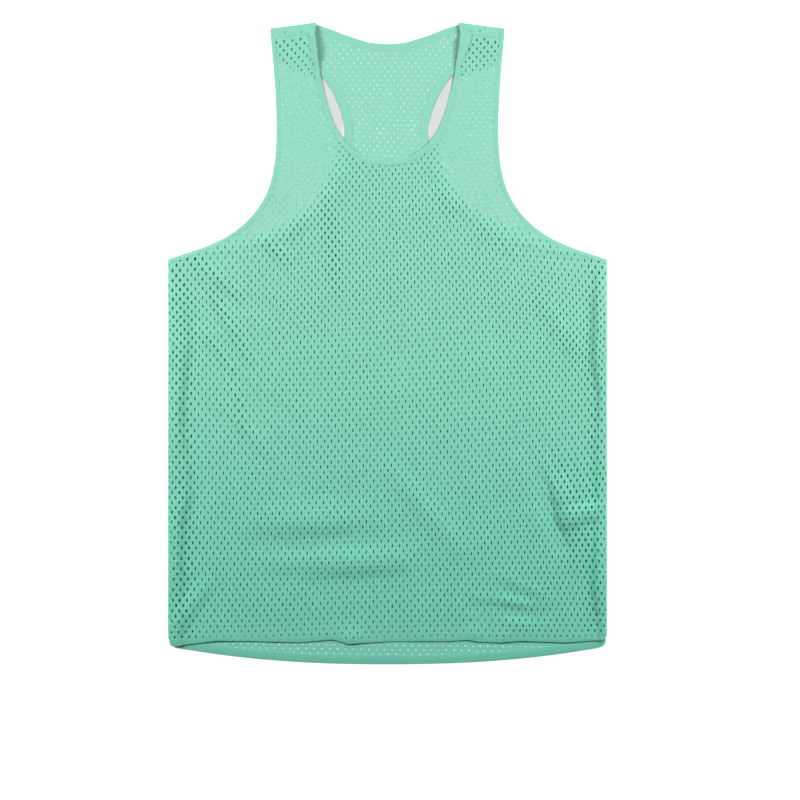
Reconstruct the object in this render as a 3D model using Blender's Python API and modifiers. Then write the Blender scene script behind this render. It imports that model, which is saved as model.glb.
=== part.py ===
"""A racerback running singlet in porthole-mesh knit, laid flat on a table with its front up.

Run it with  blender --background --python part.py  or from Blender's text editor.

Frame: metres, +Z up. The cloth rests on z = 0, its neck points to +Y, and +X is on the right of someone
who looks down on it. The origin lies under the middle of its outline.

The five pieces are the front, the back, the neck binding and the two armhole bindings. Each is an open
surface, a grid of quads worked out from the tables below, made a wall with Solidify. The tables hold the
right half; the left half mirrors it. The back comes over the shoulder fold to a seam on the front.

Tables are in millimetres: "half" is the distance from the centre line, "drop" the distance below the
highest shoulder point, and x is measured from the centre line, positive to the right.
"""

import math
from collections import namedtuple

import bpy
import numpy as np

MM = 0.001

# Driving sizes.
CHEST = 490.0  # between the side folds
LENGTH = 716.6  # from the highest shoulder point to the lowest point of the back hem
WALL = 1.2  # every cloth wall
GAP = 0.3  # between two pieces at a seam, and between the layers where they lie flat
SEAM_DROP = 12.0  # from the shoulder fold to the shoulder seam, along the front
SHOULDER_LOFT = 2.2  # how far the upper layer is lifted where the shoulder folds
HEM_CORNER = 9.0  # radius of the hems' rounded corners
SHARP_CORNER = 2.5  # the same where the front hem ends at the right side
TAIL = 20.0  # how far the back hem drops from the side to the middle
TAIL_POWER = 2.3  # shape of that drop: 2 is a parabola, more is flatter in the middle

HALF = CHEST / 2
BACK_Z = WALL / 2
FRONT_Z = BACK_Z + WALL + GAP
FOLD_RADIUS = (FRONT_Z + SHOULDER_LOFT - BACK_Z) / 2
FOLD_IN = FOLD_RADIUS + WALL / 2  # from the shoulder fold's outer face to the centre of its bend
HEM_BASE = LENGTH - TAIL  # drop of a level hem, before its waves or its tail
HEM_START = LENGTH - 150.0  # above this drop the hems' shape leaves the cloth alone
UNDERARM = 265.1  # drop of the underarm points
NECK_FOLD = np.array((79.8, 0.6))  # the shoulder fold's neck end: half width and drop
TIP_FOLD = np.array((130.6, 7.3))  # its outer end
FOLD_LINE = (TIP_FOLD - NECK_FOLD) / np.linalg.norm(TIP_FOLD - NECK_FOLD)

# How finely each piece is divided. The side steps are the columns' distances from the side fold, out to
# where an armhole edge runs at about 45 degrees; from there inward and upward the cloth runs in rows.
FRONT_ROWS = 30
FRONT_SIDE_STEPS = (0.0, 2.0, 5.0, 9.0, 13.5, 18.5, 26.0, 40.0, 55.0, 70.0, 86.0, 102.0)
FRONT_COLUMNS = 9
FRONT_NECK_STATIONS = 15
FRONT_CHEST_ROWS = 3
BACK_ROWS = 14
BACK_SIDE_STEPS = (0.0, 4.0, 11.0, 24.0, 45.0, 70.0, 97.0, 124.0, 148.0, 166.0, 180.0)
BACK_COLUMNS = 4
BACK_NECK_STATIONS = 8
BACK_YOKE_ROWS = 9
BEND_STEPS = 5
BINDING_COLUMNS = 2

# Outlines of the garment's edges, right half. The last column is the binding's width there.
Edge = namedtuple("Edge", "half drop binding")
FRONT_NECK = (
    Edge(0.0, 154.0, 6.5),
    Edge(22.3, 150.7, 6.5),
    Edge(38.0, 141.8, 6.5),
    Edge(51.3, 128.4, 6.0),
    Edge(62.5, 104.9, 6.0),
    Edge(68.6, 84.8, 6.0),
    Edge(74.0, 63.6, 6.0),
    Edge(76.5, 46.9, 6.0),
    Edge(78.9, 31.3, 6.5),
    Edge(81.2, NECK_FOLD[1] + SEAM_DROP, 6.5),
)
FRONT_ARMHOLE = (
    Edge(130.0, TIP_FOLD[1] + SEAM_DROP, 6.5),
    Edge(128.4, 36.8, 6.5),
    Edge(126.1, 64.7, 6.5),
    Edge(124.5, 92.6, 6.5),
    Edge(123.9, 126.1, 6.5),
    Edge(125.0, 148.5, 6.5),
    Edge(127.8, 167.4, 6.5),
    Edge(133.4, 187.5, 6.5),
    Edge(142.9, 205.4, 6.5),
    Edge(156.3, 221.6, 6.5),
    Edge(174.1, 236.1, 6.5),
    Edge(198.7, 248.9, 6.5),
    Edge(228.8, 259.5, 6.5),
    Edge(HALF, UNDERARM, 6.5),
)
BACK_NECK = (
    Edge(NECK_FOLD[0], NECK_FOLD[1] + FOLD_IN, 6.5),
    Edge(72.6, 5.0, 6.0),
    Edge(63.6, 7.9, 8.0),
    Edge(49.1, 13.6, 8.5),
    Edge(35.7, 18.1, 8.5),
    Edge(20.1, 22.7, 8.5),
    Edge(0.0, 24.6, 8.5),
)
BACK_ARMHOLE = (
    Edge(TIP_FOLD[0], TIP_FOLD[1] + FOLD_IN, 6.5),
    Edge(128.4, 24.6, 6.5),
    Edge(120.5, 37.0, 7.0),
    Edge(103.8, 44.6, 8.0),
    Edge(87.1, 50.2, 9.0),
    Edge(75.9, 58.0, 9.3),
    Edge(65.3, 70.3, 9.3),
    Edge(56.9, 84.8, 9.3),
    Edge(50.8, 100.5, 9.3),
    Edge(47.4, 115.0, 9.3),
    Edge(46.8, 129.5, 9.3),
    Edge(48.6, 148.5, 9.3),
    Edge(54.1, 167.4, 9.0),
    Edge(62.5, 185.3, 9.0),
    Edge(73.7, 200.9, 8.5),
    Edge(88.2, 214.3, 8.0),
    Edge(108.3, 227.7, 7.5),
    Edge(133.9, 241.1, 7.0),
    Edge(165.2, 251.1, 6.5),
    Edge(200.9, 257.8, 6.5),
    Edge(HALF, UNDERARM, 6.5),
)

# The front hem lies in shallow waves.
Hem = namedtuple("Hem", "x drop")
FRONT_HEM = (
    Hem(-HALF, 698.0),
    Hem(-228.0, 695.4),
    Hem(-209.0, 693.2),
    Hem(-192.0, 690.9),
    Hem(-140.0, 691.5),
    Hem(-98.0, 692.6),
    Hem(-61.0, 689.3),
    Hem(-44.0, 694.3),
    Hem(2.0, 691.6),
    Hem(70.0, 691.3),
    Hem(89.0, 689.8),
    Hem(102.0, 692.0),
    Hem(126.0, 692.8),
    Hem(148.0, 690.9),
    Hem(198.0, 692.8),
    Hem(225.0, 690.7),
    Hem(HALF, 689.8),
)

# The back lies a little skewed under the front: how far its armhole edges lean to the right.
Lean = namedtuple("Lean", "drop shift")
BACK_LEAN = (
    Lean(30.0, 0.0),
    Lean(75.0, -1.1),
    Lean(130.0, -1.5),
    Lean(167.0, 0.7),
    Lean(190.0, 1.5),
    Lean(214.0, 6.0),
    Lean(232.0, 9.0),
    Lean(245.0, 6.0),
    Lean(UNDERARM, 0.0),
)

# The front rolls over at each side fold: how wide and how high the roll is on the way down.
Roll = namedtuple("Roll", "drop width rise")
LEFT_ROLL = (
    Roll(UNDERARM, 10.0, 0.5),
    Roll(300.0, 26.0, 2.5),
    Roll(360.0, 31.0, 5.0),
    Roll(411.0, 22.0, 7.0),
    Roll(450.0, 20.0, 7.0),
    Roll(500.0, 31.0, 6.0),
    Roll(528.0, 33.0, 6.0),
    Roll(561.0, 20.0, 7.0),
    Roll(600.0, 19.0, 7.0),
    Roll(634.0, 22.0, 5.0),
    Roll(690.0, 20.0, 3.0),
)
RIGHT_ROLL = (
    Roll(UNDERARM, 10.0, 1.0),
    Roll(288.0, 17.0, 5.0),
    Roll(333.0, 19.0, 6.5),
    Roll(377.0, 20.0, 6.5),
    Roll(416.0, 13.0, 5.0),
    Roll(467.0, 16.0, 3.5),
    Roll(540.0, 16.0, 4.0),
    Roll(589.0, 17.0, 6.0),
    Roll(634.0, 19.0, 6.0),
    Roll(679.0, 11.0, 3.5),
    Roll(700.0, 10.0, 2.0),
)

# Ridges (rise above 0) and troughs (below 0) of the front, each along a line, fading out over its reach.
Fold = namedtuple("Fold", "name x0 drop0 x1 drop1 reach rise")
FOLDS = (
    Fold("left underarm trough", -213.0, 294.0, -120.0, 327.0, 15.0, -1.2),
    Fold("left waist trough", -192.0, 360.0, -140.0, 450.0, 15.0, -2.5),
    Fold("left waist small trough", -140.0, 419.0, -107.0, 450.0, 14.0, -1.2),
    Fold("right hip trough, upper", 172.0, 509.0, 181.0, 539.0, 15.0, -3.0),
    Fold("right hip trough, lower", 181.0, 539.0, 195.0, 586.0, 15.0, -3.0),
    Fold("right hip ridge", 194.0, 517.0, 200.0, 556.0, 16.0, 4.0),
    Fold("right hip ridge to the side", 200.0, 556.0, 239.0, 541.0, 16.0, 3.5),
    Fold("lower middle trough, upper", -146.0, 580.0, -25.0, 575.0, 20.0, -1.8),
    Fold("lower middle trough, lower", -75.0, 634.0, 14.0, 625.0, 19.0, -1.8),
    Fold("lower middle ridge", -131.0, 606.0, 14.0, 600.0, 17.0, 1.5),
    Fold("middle ridge", 3.0, 500.0, 81.0, 589.0, 20.0, 1.2),
    Fold("left hip dimple", -116.0, 511.0, -101.0, 511.0, 16.0, -1.0),
    Fold("left hem ridge", -204.0, 628.0, -237.0, 679.0, 14.0, 3.0),
    Fold("right hem trough, long", 98.0, 653.0, 176.0, 662.0, 13.0, -1.5),
    Fold("right hem trough, short", 126.0, 628.0, 181.0, 653.0, 13.0, -1.2),
    Fold("hem bump, middle", -42.0, 686.0, -37.0, 686.0, 14.0, 2.0),
    Fold("hem bump, right", 96.0, 681.0, 100.0, 681.0, 14.0, 1.5),
    Fold("hem bump, far right", 129.0, 684.0, 133.0, 684.0, 14.0, 1.5),
    Fold("left strap lifts at the neck", -80.0, 16.0, -78.0, 49.0, 12.0, 2.2),
    Fold("right strap rolls at the neck, upper", 83.5, 22.0, 84.0, 26.0, 11.0, 3.0),
    Fold("right strap rolls at the neck, lower", 84.0, 26.0, 78.0, 49.0, 10.0, 2.2),
)
# The plain lift of the front over the back, down its middle.
Lift = namedtuple("Lift", "drop rise")
MIDDLE_LIFT = (
    Lift(0.0, 0.6),
    Lift(200.0, 0.5),
    Lift(400.0, 1.2),
    Lift(560.0, 2.0),
    Lift(680.0, 1.6),
    Lift(700.0, 0.6),
)
SIDE_LIFT = 1.2  # added to the middle's lift near each side roll
SIDE_FADE = 14.0  # the lift and the folds fade out over this much at the side folds
BODY_FADE = 40.0  # the side rolls and the side lift fade in over this much below the underarm
SHOULDER_HOLD = 12.0  # the shoulder's loft holds down to this drop
SHOULDER_FADE = 45.0  # and fades out over this much more
SOFT = 0.2  # how softly the lift ends where the front would meet the back

# Finish.
Finish = namedtuple("Finish", "name colour roughness")
PANEL_FINISH = Finish("Mint mesh knit", (0.275, 0.680, 0.510), 0.85)
BINDING_FINISH = Finish("Mint binding knit", (0.300, 0.700, 0.530), 0.80)


def column(rows, name):
    """One column of a table."""
    return np.array([getattr(row, name) for row in rows])


def smooth(rows):
    """A fine smooth curve through a table of edges, as columns half, drop, binding and run along it."""
    points = np.array([(row.half, row.drop, row.binding) for row in rows])
    steps = np.hypot(*np.diff(points[:, :2], axis=0).T)
    knots = np.concatenate([[0.0], np.cumsum(steps)])
    slopes = np.gradient(points, knots, axis=0)
    fine = np.linspace(0.0, knots[-1], 40 * len(rows))
    cell = np.clip(np.searchsorted(knots, fine, side="right") - 1, 0, len(rows) - 2)
    span = steps[cell][:, None]
    t = ((fine - knots[cell]) / steps[cell])[:, None]
    curve = (
        (2 * t**3 - 3 * t**2 + 1) * points[cell]
        + (t**3 - 2 * t**2 + t) * span * slopes[cell]
        + (3 * t**2 - 2 * t**3) * points[cell + 1]
        + (t**3 - t**2) * span * slopes[cell + 1]
    )
    run = np.concatenate([[0.0], np.cumsum(np.hypot(*np.diff(curve[:, :2], axis=0).T))])
    return np.column_stack([curve, run])


def stations(curve, runs):
    """Points (half, drop) and binding widths of a smooth curve at given runs along it."""
    sampled = np.stack([np.interp(runs, curve[:, 3], curve[:, k]) for k in range(3)], axis=1)
    return sampled[:, :2], sampled[:, 2]


def even_stations(rows, count):
    """Evenly spaced stations of a smooth curve through a table of edges."""
    curve = smooth(rows)
    return stations(curve, np.linspace(0.0, curve[-1, 3], count))


def split_stations(rows, side_steps, count):
    """Stations of an armhole edge: count even ones down to the last side step, then one a side step."""
    curve = smooth(rows)
    lower = curve[np.argmin(curve[:, 0]) :]
    side_runs = np.interp(HALF - np.array(side_steps[::-1]), lower[:, 0], lower[:, 3])
    return stations(curve, np.concatenate([np.linspace(0.0, side_runs[0], count), side_runs[1:]]))


def inward(points, turn):
    """Unit normals of a curve in (half, drop), on the side given by turn (+1 or -1)."""
    tangent = np.gradient(points, axis=0)
    normal = turn * np.stack([tangent[:, 1], -tangent[:, 0]], axis=1)
    return normal / np.linalg.norm(normal, axis=1, keepdims=True)


def table_at(rows, x_name, y_name, at):
    """A table's column read at given values of another, straight between its rows."""
    return np.interp(at, column(rows, x_name), column(rows, y_name))


def ridge(fold, x, drop):
    """Height of one fold: full on its line, fading to nothing at its reach, lower toward its ends."""
    start = np.array((fold.x0, fold.drop0))
    run = np.array((fold.x1, fold.drop1)) - start
    share = ((x - start[0]) * run[0] + (drop - start[1]) * run[1]) / (run @ run)
    nearest = np.clip(share, 0.0, 1.0)
    away = np.hypot(x - start[0] - nearest * run[0], drop - start[1] - nearest * run[1])
    fade = np.clip(1.0 - (away / fold.reach) ** 2, 0.0, 1.0) ** 2
    return fold.rise * fade * (1.0 - 0.5 * (2.0 * nearest - 1.0) ** 2)


def side_roll(rows, inset, drop):
    """Height of the roll at a side fold: a quarter round from the edge, easing to nothing at its width."""
    width = table_at(rows, "drop", "width", drop)
    rise = table_at(rows, "drop", "rise", drop)
    across = np.clip(inset / width, 0.0, 1.0)
    outer = np.sqrt(np.clip(1.0 - (1.0 - 2.0 * across) ** 2, 0.0, 1.0))
    inner = 0.5 + 0.5 * np.cos(np.pi * np.clip(2.0 * across - 1.0, 0.0, 1.0))
    return rise * np.where(across < 0.5, outer, inner)


def loft(x, drop):
    """How far the front is lifted above the place where it would touch the back."""
    inset = HALF - np.abs(x)
    in_body = np.clip((drop - UNDERARM) / BODY_FADE, 0.0, 1.0)
    middle = table_at(MIDDLE_LIFT, "drop", "rise", drop)
    lift = middle + SIDE_LIFT * in_body * (x / HALF) ** 2
    lift = lift + sum(ridge(fold, x, drop) for fold in FOLDS)
    lift = lift * np.clip(inset / SIDE_FADE, 0.0, 1.0) ** 0.5
    rolls = np.where(x < 0, side_roll(LEFT_ROLL, inset, drop), side_roll(RIGHT_ROLL, inset, drop))
    lift = lift + in_body**0.5 * rolls
    below = np.clip((drop - SHOULDER_HOLD) / SHOULDER_FADE, 0.0, 1.0)
    lift = lift + (SHOULDER_LOFT - middle) * (0.5 + 0.5 * np.cos(np.pi * below))
    return 0.5 * (lift + np.sqrt(lift**2 + SOFT**2))


def place(points, layer):
    """World points in metres of (x, drop) on a layer: 0 is the back, 1 the front, between them a fold."""
    x, drop = points[..., 0], points[..., 1]
    under = x + (1.0 - layer) * table_at(BACK_LEAN, "drop", "shift", drop) * (1.0 - (x / HALF) ** 2)
    z = BACK_Z + layer * (FRONT_Z + loft(x, drop) - BACK_Z)
    return np.stack([under, LENGTH / 2 - drop, z], axis=-1) * MM


def shoulder_bend(neck_in, tip_in):
    """The shoulder fold from the front down to the back, a line parallel to the fold at each step.

    Returns the lines' neck ends and tip ends, moved in by neck_in and tip_in, and their layers.
    """
    turns = np.linspace(math.pi, 0.0, BEND_STEPS + 1)
    down = FOLD_IN - FOLD_RADIUS * np.sin(turns)
    shift = np.stack([np.zeros_like(down), down], axis=1)
    layers = (1.0 - np.cos(turns)) / 2
    return NECK_FOLD + shift + neck_in * FOLD_LINE, TIP_FOLD + shift - tip_in * FOLD_LINE, layers


# One edge of the garment, from the shoulder down: stations (half, drop), the binding's inner edge beside
# them, and the panel's edge beside that, a seam gap further in.
Line = namedtuple("Line", "edge binding panel")


def line(sampled, turn, along_fold):
    """A Line from stations and widths. Its first cut runs along the shoulder fold and its last is upright."""
    points, widths = sampled
    into = inward(points, turn)
    into[0] = along_fold
    into[-1] = (0.0, 1.0)
    widths = widths[:, None]
    return Line(points, points + into * widths, points + into * (widths + GAP))


def edge_lines():
    """The garment's four edges, right half."""
    front_rows = FRONT_NECK_STATIONS + FRONT_CHEST_ROWS
    back_rows = BACK_NECK_STATIONS + BACK_YOKE_ROWS
    return {
        "front neck": line(even_stations(FRONT_NECK[::-1], FRONT_NECK_STATIONS), 1, FOLD_LINE),
        "back neck": line(even_stations(BACK_NECK, BACK_NECK_STATIONS), 1, FOLD_LINE),
        "front armhole": line(split_stations(FRONT_ARMHOLE, FRONT_SIDE_STEPS, front_rows), -1, -FOLD_LINE),
        "back armhole": line(split_stations(BACK_ARMHOLE, BACK_SIDE_STEPS, back_rows), -1, -FOLD_LINE),
    }


def make_object(name, points, faces, finish, collection):
    """A wall of cloth: the surface as a mesh with a Solidify modifier and its own material."""
    mesh = bpy.data.meshes.new(name)
    mesh.from_pydata(points.reshape(-1, 3).tolist(), [], faces.tolist())
    mesh.update()
    made = bpy.data.objects.new(name, mesh)
    collection.objects.link(made)
    wall = made.modifiers.new("Wall", "SOLIDIFY")
    wall.thickness = WALL * MM
    wall.offset = 0.0
    material = bpy.data.materials.new(f"{finish.name}, {name}")
    material.use_nodes = True
    shader = material.node_tree.nodes["Principled BSDF"]
    shader.inputs["Base Color"].default_value = (*finish.colour, 1.0)
    shader.inputs["Roughness"].default_value = finish.roughness
    shader.inputs["Metallic"].default_value = 0.0
    mesh.materials.append(material)
    return made


def quads(rows, columns, turned):
    """Faces of a grid of points, row by row; turned swaps which side they face."""
    corner = np.arange(rows * columns).reshape(rows, columns)
    ring = [corner[:-1, :-1], corner[:-1, 1:], corner[1:, 1:], corner[1:, :-1]]
    if turned:
        ring = ring[::-1]
    return np.stack(ring, axis=-1).reshape(-1, 4)


def rows_between(inner, outer, count):
    """A grid of points: row i runs straight from inner[i] to outer[i] in count columns."""
    shares = np.linspace(0.0, 1.0, count + 1)[None, :, None]
    return inner[:, None, :] + shares * (outer - inner)[:, None, :]


def hem_corner(inset, radius):
    """How far a hem rises at its rounded corner, by the distance from the side."""
    reach = np.clip(radius - inset, 0.0, radius)
    return radius - np.sqrt(radius**2 - reach**2)


def front_hem(x):
    """Drop of the front hem, with its shallow waves."""
    radius = np.where(x < 0, HEM_CORNER, SHARP_CORNER)
    return table_at(FRONT_HEM, "x", "drop", x) - hem_corner(HALF - np.abs(x), radius)


def tail_hem(x):
    """Drop of the back hem, lowest in the middle."""
    tail = LENGTH - TAIL * (np.abs(x) / HALF) ** TAIL_POWER
    return tail - hem_corner(HALF - np.abs(x), HEM_CORNER)


def to_hem(points, hem):
    """Points with the lowest stretch of the cloth drawn down to a hem, a drop for each x."""
    x, drop = points[..., 0], points[..., 1]
    share = np.clip((drop - HEM_START) / (HEM_BASE - HEM_START), 0.0, 1.0)
    return np.stack([x, drop + share * (hem(x) - HEM_BASE)], axis=-1)


def body_block(armhole, side_steps, columns, rows):
    """The right half's grid from the hem up to the armhole edge and, nearer the centre, to a level line."""
    top_side = armhole[-len(side_steps) :][::-1]
    corner = top_side[-1]
    shares = np.linspace(0.0, 1.0, columns + 1)[1:, None]
    top = np.concatenate([top_side, corner + shares * (np.array((0.0, corner[1])) - corner)])
    inset = np.concatenate([side_steps, side_steps[-1] + shares[:, 0] * (HALF - side_steps[-1])])
    bottom = np.stack([HALF - inset, np.full(len(inset), HEM_BASE)], axis=1)
    return rows_between(bottom, top, rows)


def centre_rows(block, neck_bottom, rows):
    """Inner ends, on the centre line, of the rows between a body block's level line and the neck."""
    drops = np.linspace(block[-1, -1, 1], neck_bottom, rows + 1)[:-1]
    return np.stack([0 * drops, drops], axis=1)


def panel(name, blocks, hem, collection):
    """A panel from blocks of its right half, each a grid of (x, drop) and its points' layer.

    The blocks are mirrored in the centre line, and points that coincide are made one.
    """
    points, faces, count = [], [], 0
    for grid, layer in blocks:
        for side in (1.0, -1.0):
            placed = place(to_hem(grid * np.array((side, 1.0)), hem), layer)
            points.append(placed.reshape(-1, 3))
            faces.append(count + quads(*grid.shape[:2], side < 0))
            count += len(points[-1])
    points, faces = np.concatenate(points), np.concatenate(faces)
    _, first, index = np.unique(np.round(points, 7), axis=0, return_index=True, return_inverse=True)
    return make_object(name, points[first], index.reshape(-1)[faces], PANEL_FINISH, collection)


def make_front(lines, collection):
    """The front panel, from its hem up to the shoulder seam."""
    neck = lines["front neck"].panel.copy()
    armhole = lines["front armhole"].panel.copy()
    neck[0, 1] += GAP / 2
    armhole[0, 1] += GAP / 2
    body = body_block(armhole, FRONT_SIDE_STEPS, FRONT_COLUMNS, FRONT_ROWS)
    inner = np.concatenate([centre_rows(body, neck[-1, 1], FRONT_CHEST_ROWS), neck[::-1]])
    outer = armhole[: len(inner)][::-1]
    chest = rows_between(inner, outer, FRONT_COLUMNS)
    return panel("front", [(body, 1.0), (chest, 1.0)], front_hem, collection)


def make_back(lines, collection):
    """The back panel, from its tail hem up to the shoulder fold and over it to the seam on the front."""
    neck = lines["back neck"].panel
    armhole = lines["back armhole"].panel
    body = body_block(armhole, BACK_SIDE_STEPS, BACK_COLUMNS, BACK_ROWS)
    inner = np.concatenate([centre_rows(body, neck[-1, 1], BACK_YOKE_ROWS), neck[:0:-1]])
    outer = armhole[1 : len(inner) + 1][::-1]
    bend_inner, bend_outer, bend_layers = shoulder_bend(
        BACK_NECK[0].binding + GAP, BACK_ARMHOLE[0].binding + GAP
    )
    to_seam = np.array(((0.0, GAP / 2),))
    layers = np.concatenate([np.zeros(len(inner)), bend_layers[::-1], [1.0]])
    inner = np.concatenate([inner, bend_inner[::-1], lines["front neck"].panel[:1] - to_seam])
    outer = np.concatenate([outer, bend_outer[::-1], lines["front armhole"].panel[:1] - to_seam])
    yoke = rows_between(inner, outer, BACK_COLUMNS)
    return panel("back", [(body, 0.0), (yoke, layers[:, None])], tail_hem, collection)


def binding_half(front, bend, back):
    """A binding's outer and inner edges and layers, from the front's far end over the fold to the back's.

    The bend holds the fold's ends without and with the binding's width, and the layers.
    """
    outer = np.concatenate([front.edge[::-1], bend[0], back.edge[1:]])
    inner = np.concatenate([front.binding[::-1], bend[1], back.binding[1:]])
    layers = np.concatenate([np.ones(len(front.edge)), bend[2], np.zeros(len(back.edge) - 1)])
    return outer, inner, layers


def ribbon(outer, inner, layers, closed):
    """Points and faces of a strip between two edges; a closed one joins its last station to its first."""
    flat = rows_between(outer, inner, BINDING_COLUMNS)
    points = place(flat, layers[:, None] * np.ones(flat.shape[:2]))
    faces = quads(len(outer) + closed, BINDING_COLUMNS + 1, False)
    return points, faces % (flat.shape[0] * flat.shape[1])


def make_neck_binding(lines, collection):
    """The neck binding: round the front neck, over both shoulder folds and round the back neck."""
    edge, _, layers = shoulder_bend(0.0, 0.0)
    beside, _, _ = shoulder_bend(BACK_NECK[0].binding, 0.0)
    outer, inner, layers = binding_half(lines["front neck"], (edge, beside, layers), lines["back neck"])
    mirror = np.array((-1.0, 1.0))
    outer = np.concatenate([outer, outer[-2:0:-1] * mirror])
    inner = np.concatenate([inner, inner[-2:0:-1] * mirror])
    layers = np.concatenate([layers, layers[-2:0:-1]])
    points, faces = ribbon(outer, inner, layers, True)
    return make_object("neck_binding", points, faces, BINDING_FINISH, collection)


def make_armhole_binding(lines, side, name, collection):
    """An armhole binding: from the underarm up the front, over the shoulder fold and down the back."""
    _, edge, layers = shoulder_bend(0.0, 0.0)
    _, beside, _ = shoulder_bend(0.0, BACK_ARMHOLE[0].binding)
    outer, inner, layers = binding_half(
        lines["front armhole"], (edge, beside, layers), lines["back armhole"]
    )
    mirror = np.array((side, 1.0))
    points, faces = ribbon(outer * mirror, inner * mirror, layers, False)
    return make_object(name, points, faces[:, ::-1] if side > 0 else faces, BINDING_FINISH, collection)


def main():
    """Clears the scene and builds the five pieces in a collection of their own."""
    for old in list(bpy.data.objects):
        bpy.data.objects.remove(old, do_unlink=True)
    collection = bpy.data.collections.new("Running singlet")
    bpy.context.scene.collection.children.link(collection)
    lines = edge_lines()
    make_back(lines, collection)
    make_front(lines, collection)
    make_neck_binding(lines, collection)
    make_armhole_binding(lines, -1, "left_armhole_binding", collection)
    make_armhole_binding(lines, 1, "right_armhole_binding", collection)


main()
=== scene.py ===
"""Looks of a racerback running singlet in porthole-mesh knit, laid flat on a table with its front up.

The front and the back are thin shells cut through by their knit holes, the bindings are folded strips
with their seams, and the hems are turned. All of them lie on the solids' middle surfaces, which come from
the same tables as the solids.

Sizes are in millimetres until a mesh is made. "half" is the distance from the centre line, "drop" the
distance below the highest shoulder point, and x is measured from the centre line, positive to the right.
"""

from __future__ import annotations

import logging
import math
from dataclasses import dataclass
from enum import Enum
from typing import Callable, Sequence

import bmesh
import bpy
import numpy as np
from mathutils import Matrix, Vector
from mathutils.geometry import delaunay_2d_cdt


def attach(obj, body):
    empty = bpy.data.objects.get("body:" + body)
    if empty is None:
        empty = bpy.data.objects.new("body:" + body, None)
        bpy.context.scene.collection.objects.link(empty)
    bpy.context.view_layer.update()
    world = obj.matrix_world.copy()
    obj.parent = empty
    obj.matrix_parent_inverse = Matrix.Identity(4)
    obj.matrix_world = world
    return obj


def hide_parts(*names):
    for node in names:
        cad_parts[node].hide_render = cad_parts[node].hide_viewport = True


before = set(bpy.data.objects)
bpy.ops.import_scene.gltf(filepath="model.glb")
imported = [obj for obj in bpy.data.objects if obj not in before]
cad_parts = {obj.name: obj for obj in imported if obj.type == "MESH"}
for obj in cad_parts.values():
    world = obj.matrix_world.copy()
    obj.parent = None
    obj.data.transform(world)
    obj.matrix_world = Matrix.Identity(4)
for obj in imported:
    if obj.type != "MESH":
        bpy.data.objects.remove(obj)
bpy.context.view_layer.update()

LOG = logging.getLogger("running singlet")
MM = 0.001
BODY = "root"
Array = np.ndarray
Surface = Callable[[Array], Array]
ByPlace = Callable[[Array], Array]  # gives a value for each place

CHEST = 490.0  # between the side folds
LENGTH = 716.6  # from the highest shoulder point to the lowest point of the back hem
HALF = CHEST / 2
UNDERARM = 265.1  # drop of the underarm points


class Side(Enum):
    """The two sides of the garment, by the sign of x."""

    LEFT = -1.0
    RIGHT = 1.0


@dataclass(frozen=True)
class Edge:
    """A point of a garment edge, right half, with the binding's width there."""

    half: float
    drop: float
    binding: float


@dataclass(frozen=True)
class Reading:
    """One value at one place along a line: a height, a shift or a drop."""

    at: float
    value: float


@dataclass(frozen=True)
class Roll:
    """The roll over a side fold at one drop: its width and its height."""

    drop: float
    width: float
    rise: float


@dataclass(frozen=True)
class Fold:
    """A ridge (rise above 0) or trough (below 0) along a line, fading out over its reach.

    Pull is how much wider the knit holes are on its line, as a share of their width.
    """

    x0: float
    drop0: float
    x1: float
    drop1: float
    reach: float
    rise: float
    pull: float = 0.0


@dataclass(frozen=True)
class Wave:
    """A slow sine over the cloth: radians per millimetre across and down, and its phase in radians."""

    across: float
    down: float
    phase: float


@dataclass(frozen=True)
class Pull:
    """Where the cloth is pulled toward a side: where it starts, how far it grows, and its share there."""

    start: float
    ease: float
    share: float


@dataclass(frozen=True)
class Course:
    """One row of knit holes: where it lies at each of the guide columns."""

    row: float
    x: tuple[float, ...]
    drop: tuple[float, ...]


@dataclass(frozen=True)
class Hole:
    """Width and height of the knit holes at one drop."""

    drop: float
    width: float
    height: float


FRONT_NECK = (
    Edge(0.0, 154.0, 6.5),
    Edge(22.3, 150.7, 6.5),
    Edge(38.0, 141.8, 6.5),
    Edge(51.3, 128.4, 6.0),
    Edge(62.5, 104.9, 6.0),
    Edge(68.6, 84.8, 6.0),
    Edge(74.0, 63.6, 6.0),
    Edge(76.5, 46.9, 6.0),
    Edge(78.9, 31.3, 6.5),
    Edge(81.2, 12.6, 6.5),
)
FRONT_ARMHOLE = (
    Edge(130.0, 19.3, 6.5),
    Edge(128.4, 36.8, 6.5),
    Edge(126.1, 64.7, 6.5),
    Edge(124.5, 92.6, 6.5),
    Edge(123.9, 126.1, 6.5),
    Edge(125.0, 148.5, 6.5),
    Edge(127.8, 167.4, 6.5),
    Edge(133.4, 187.5, 6.5),
    Edge(142.9, 205.4, 6.5),
    Edge(156.3, 221.6, 6.5),
    Edge(174.1, 236.1, 6.5),
    Edge(198.7, 248.9, 6.5),
    Edge(228.8, 259.5, 6.5),
    Edge(HALF, UNDERARM, 6.5),
)
BACK_NECK = (
    Edge(79.8, 3.05, 6.5),
    Edge(72.6, 5.0, 6.0),
    Edge(63.6, 7.9, 8.0),
    Edge(49.1, 13.6, 8.5),
    Edge(35.7, 18.1, 8.5),
    Edge(20.1, 22.7, 8.5),
    Edge(0.0, 24.6, 8.5),
)
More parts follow.
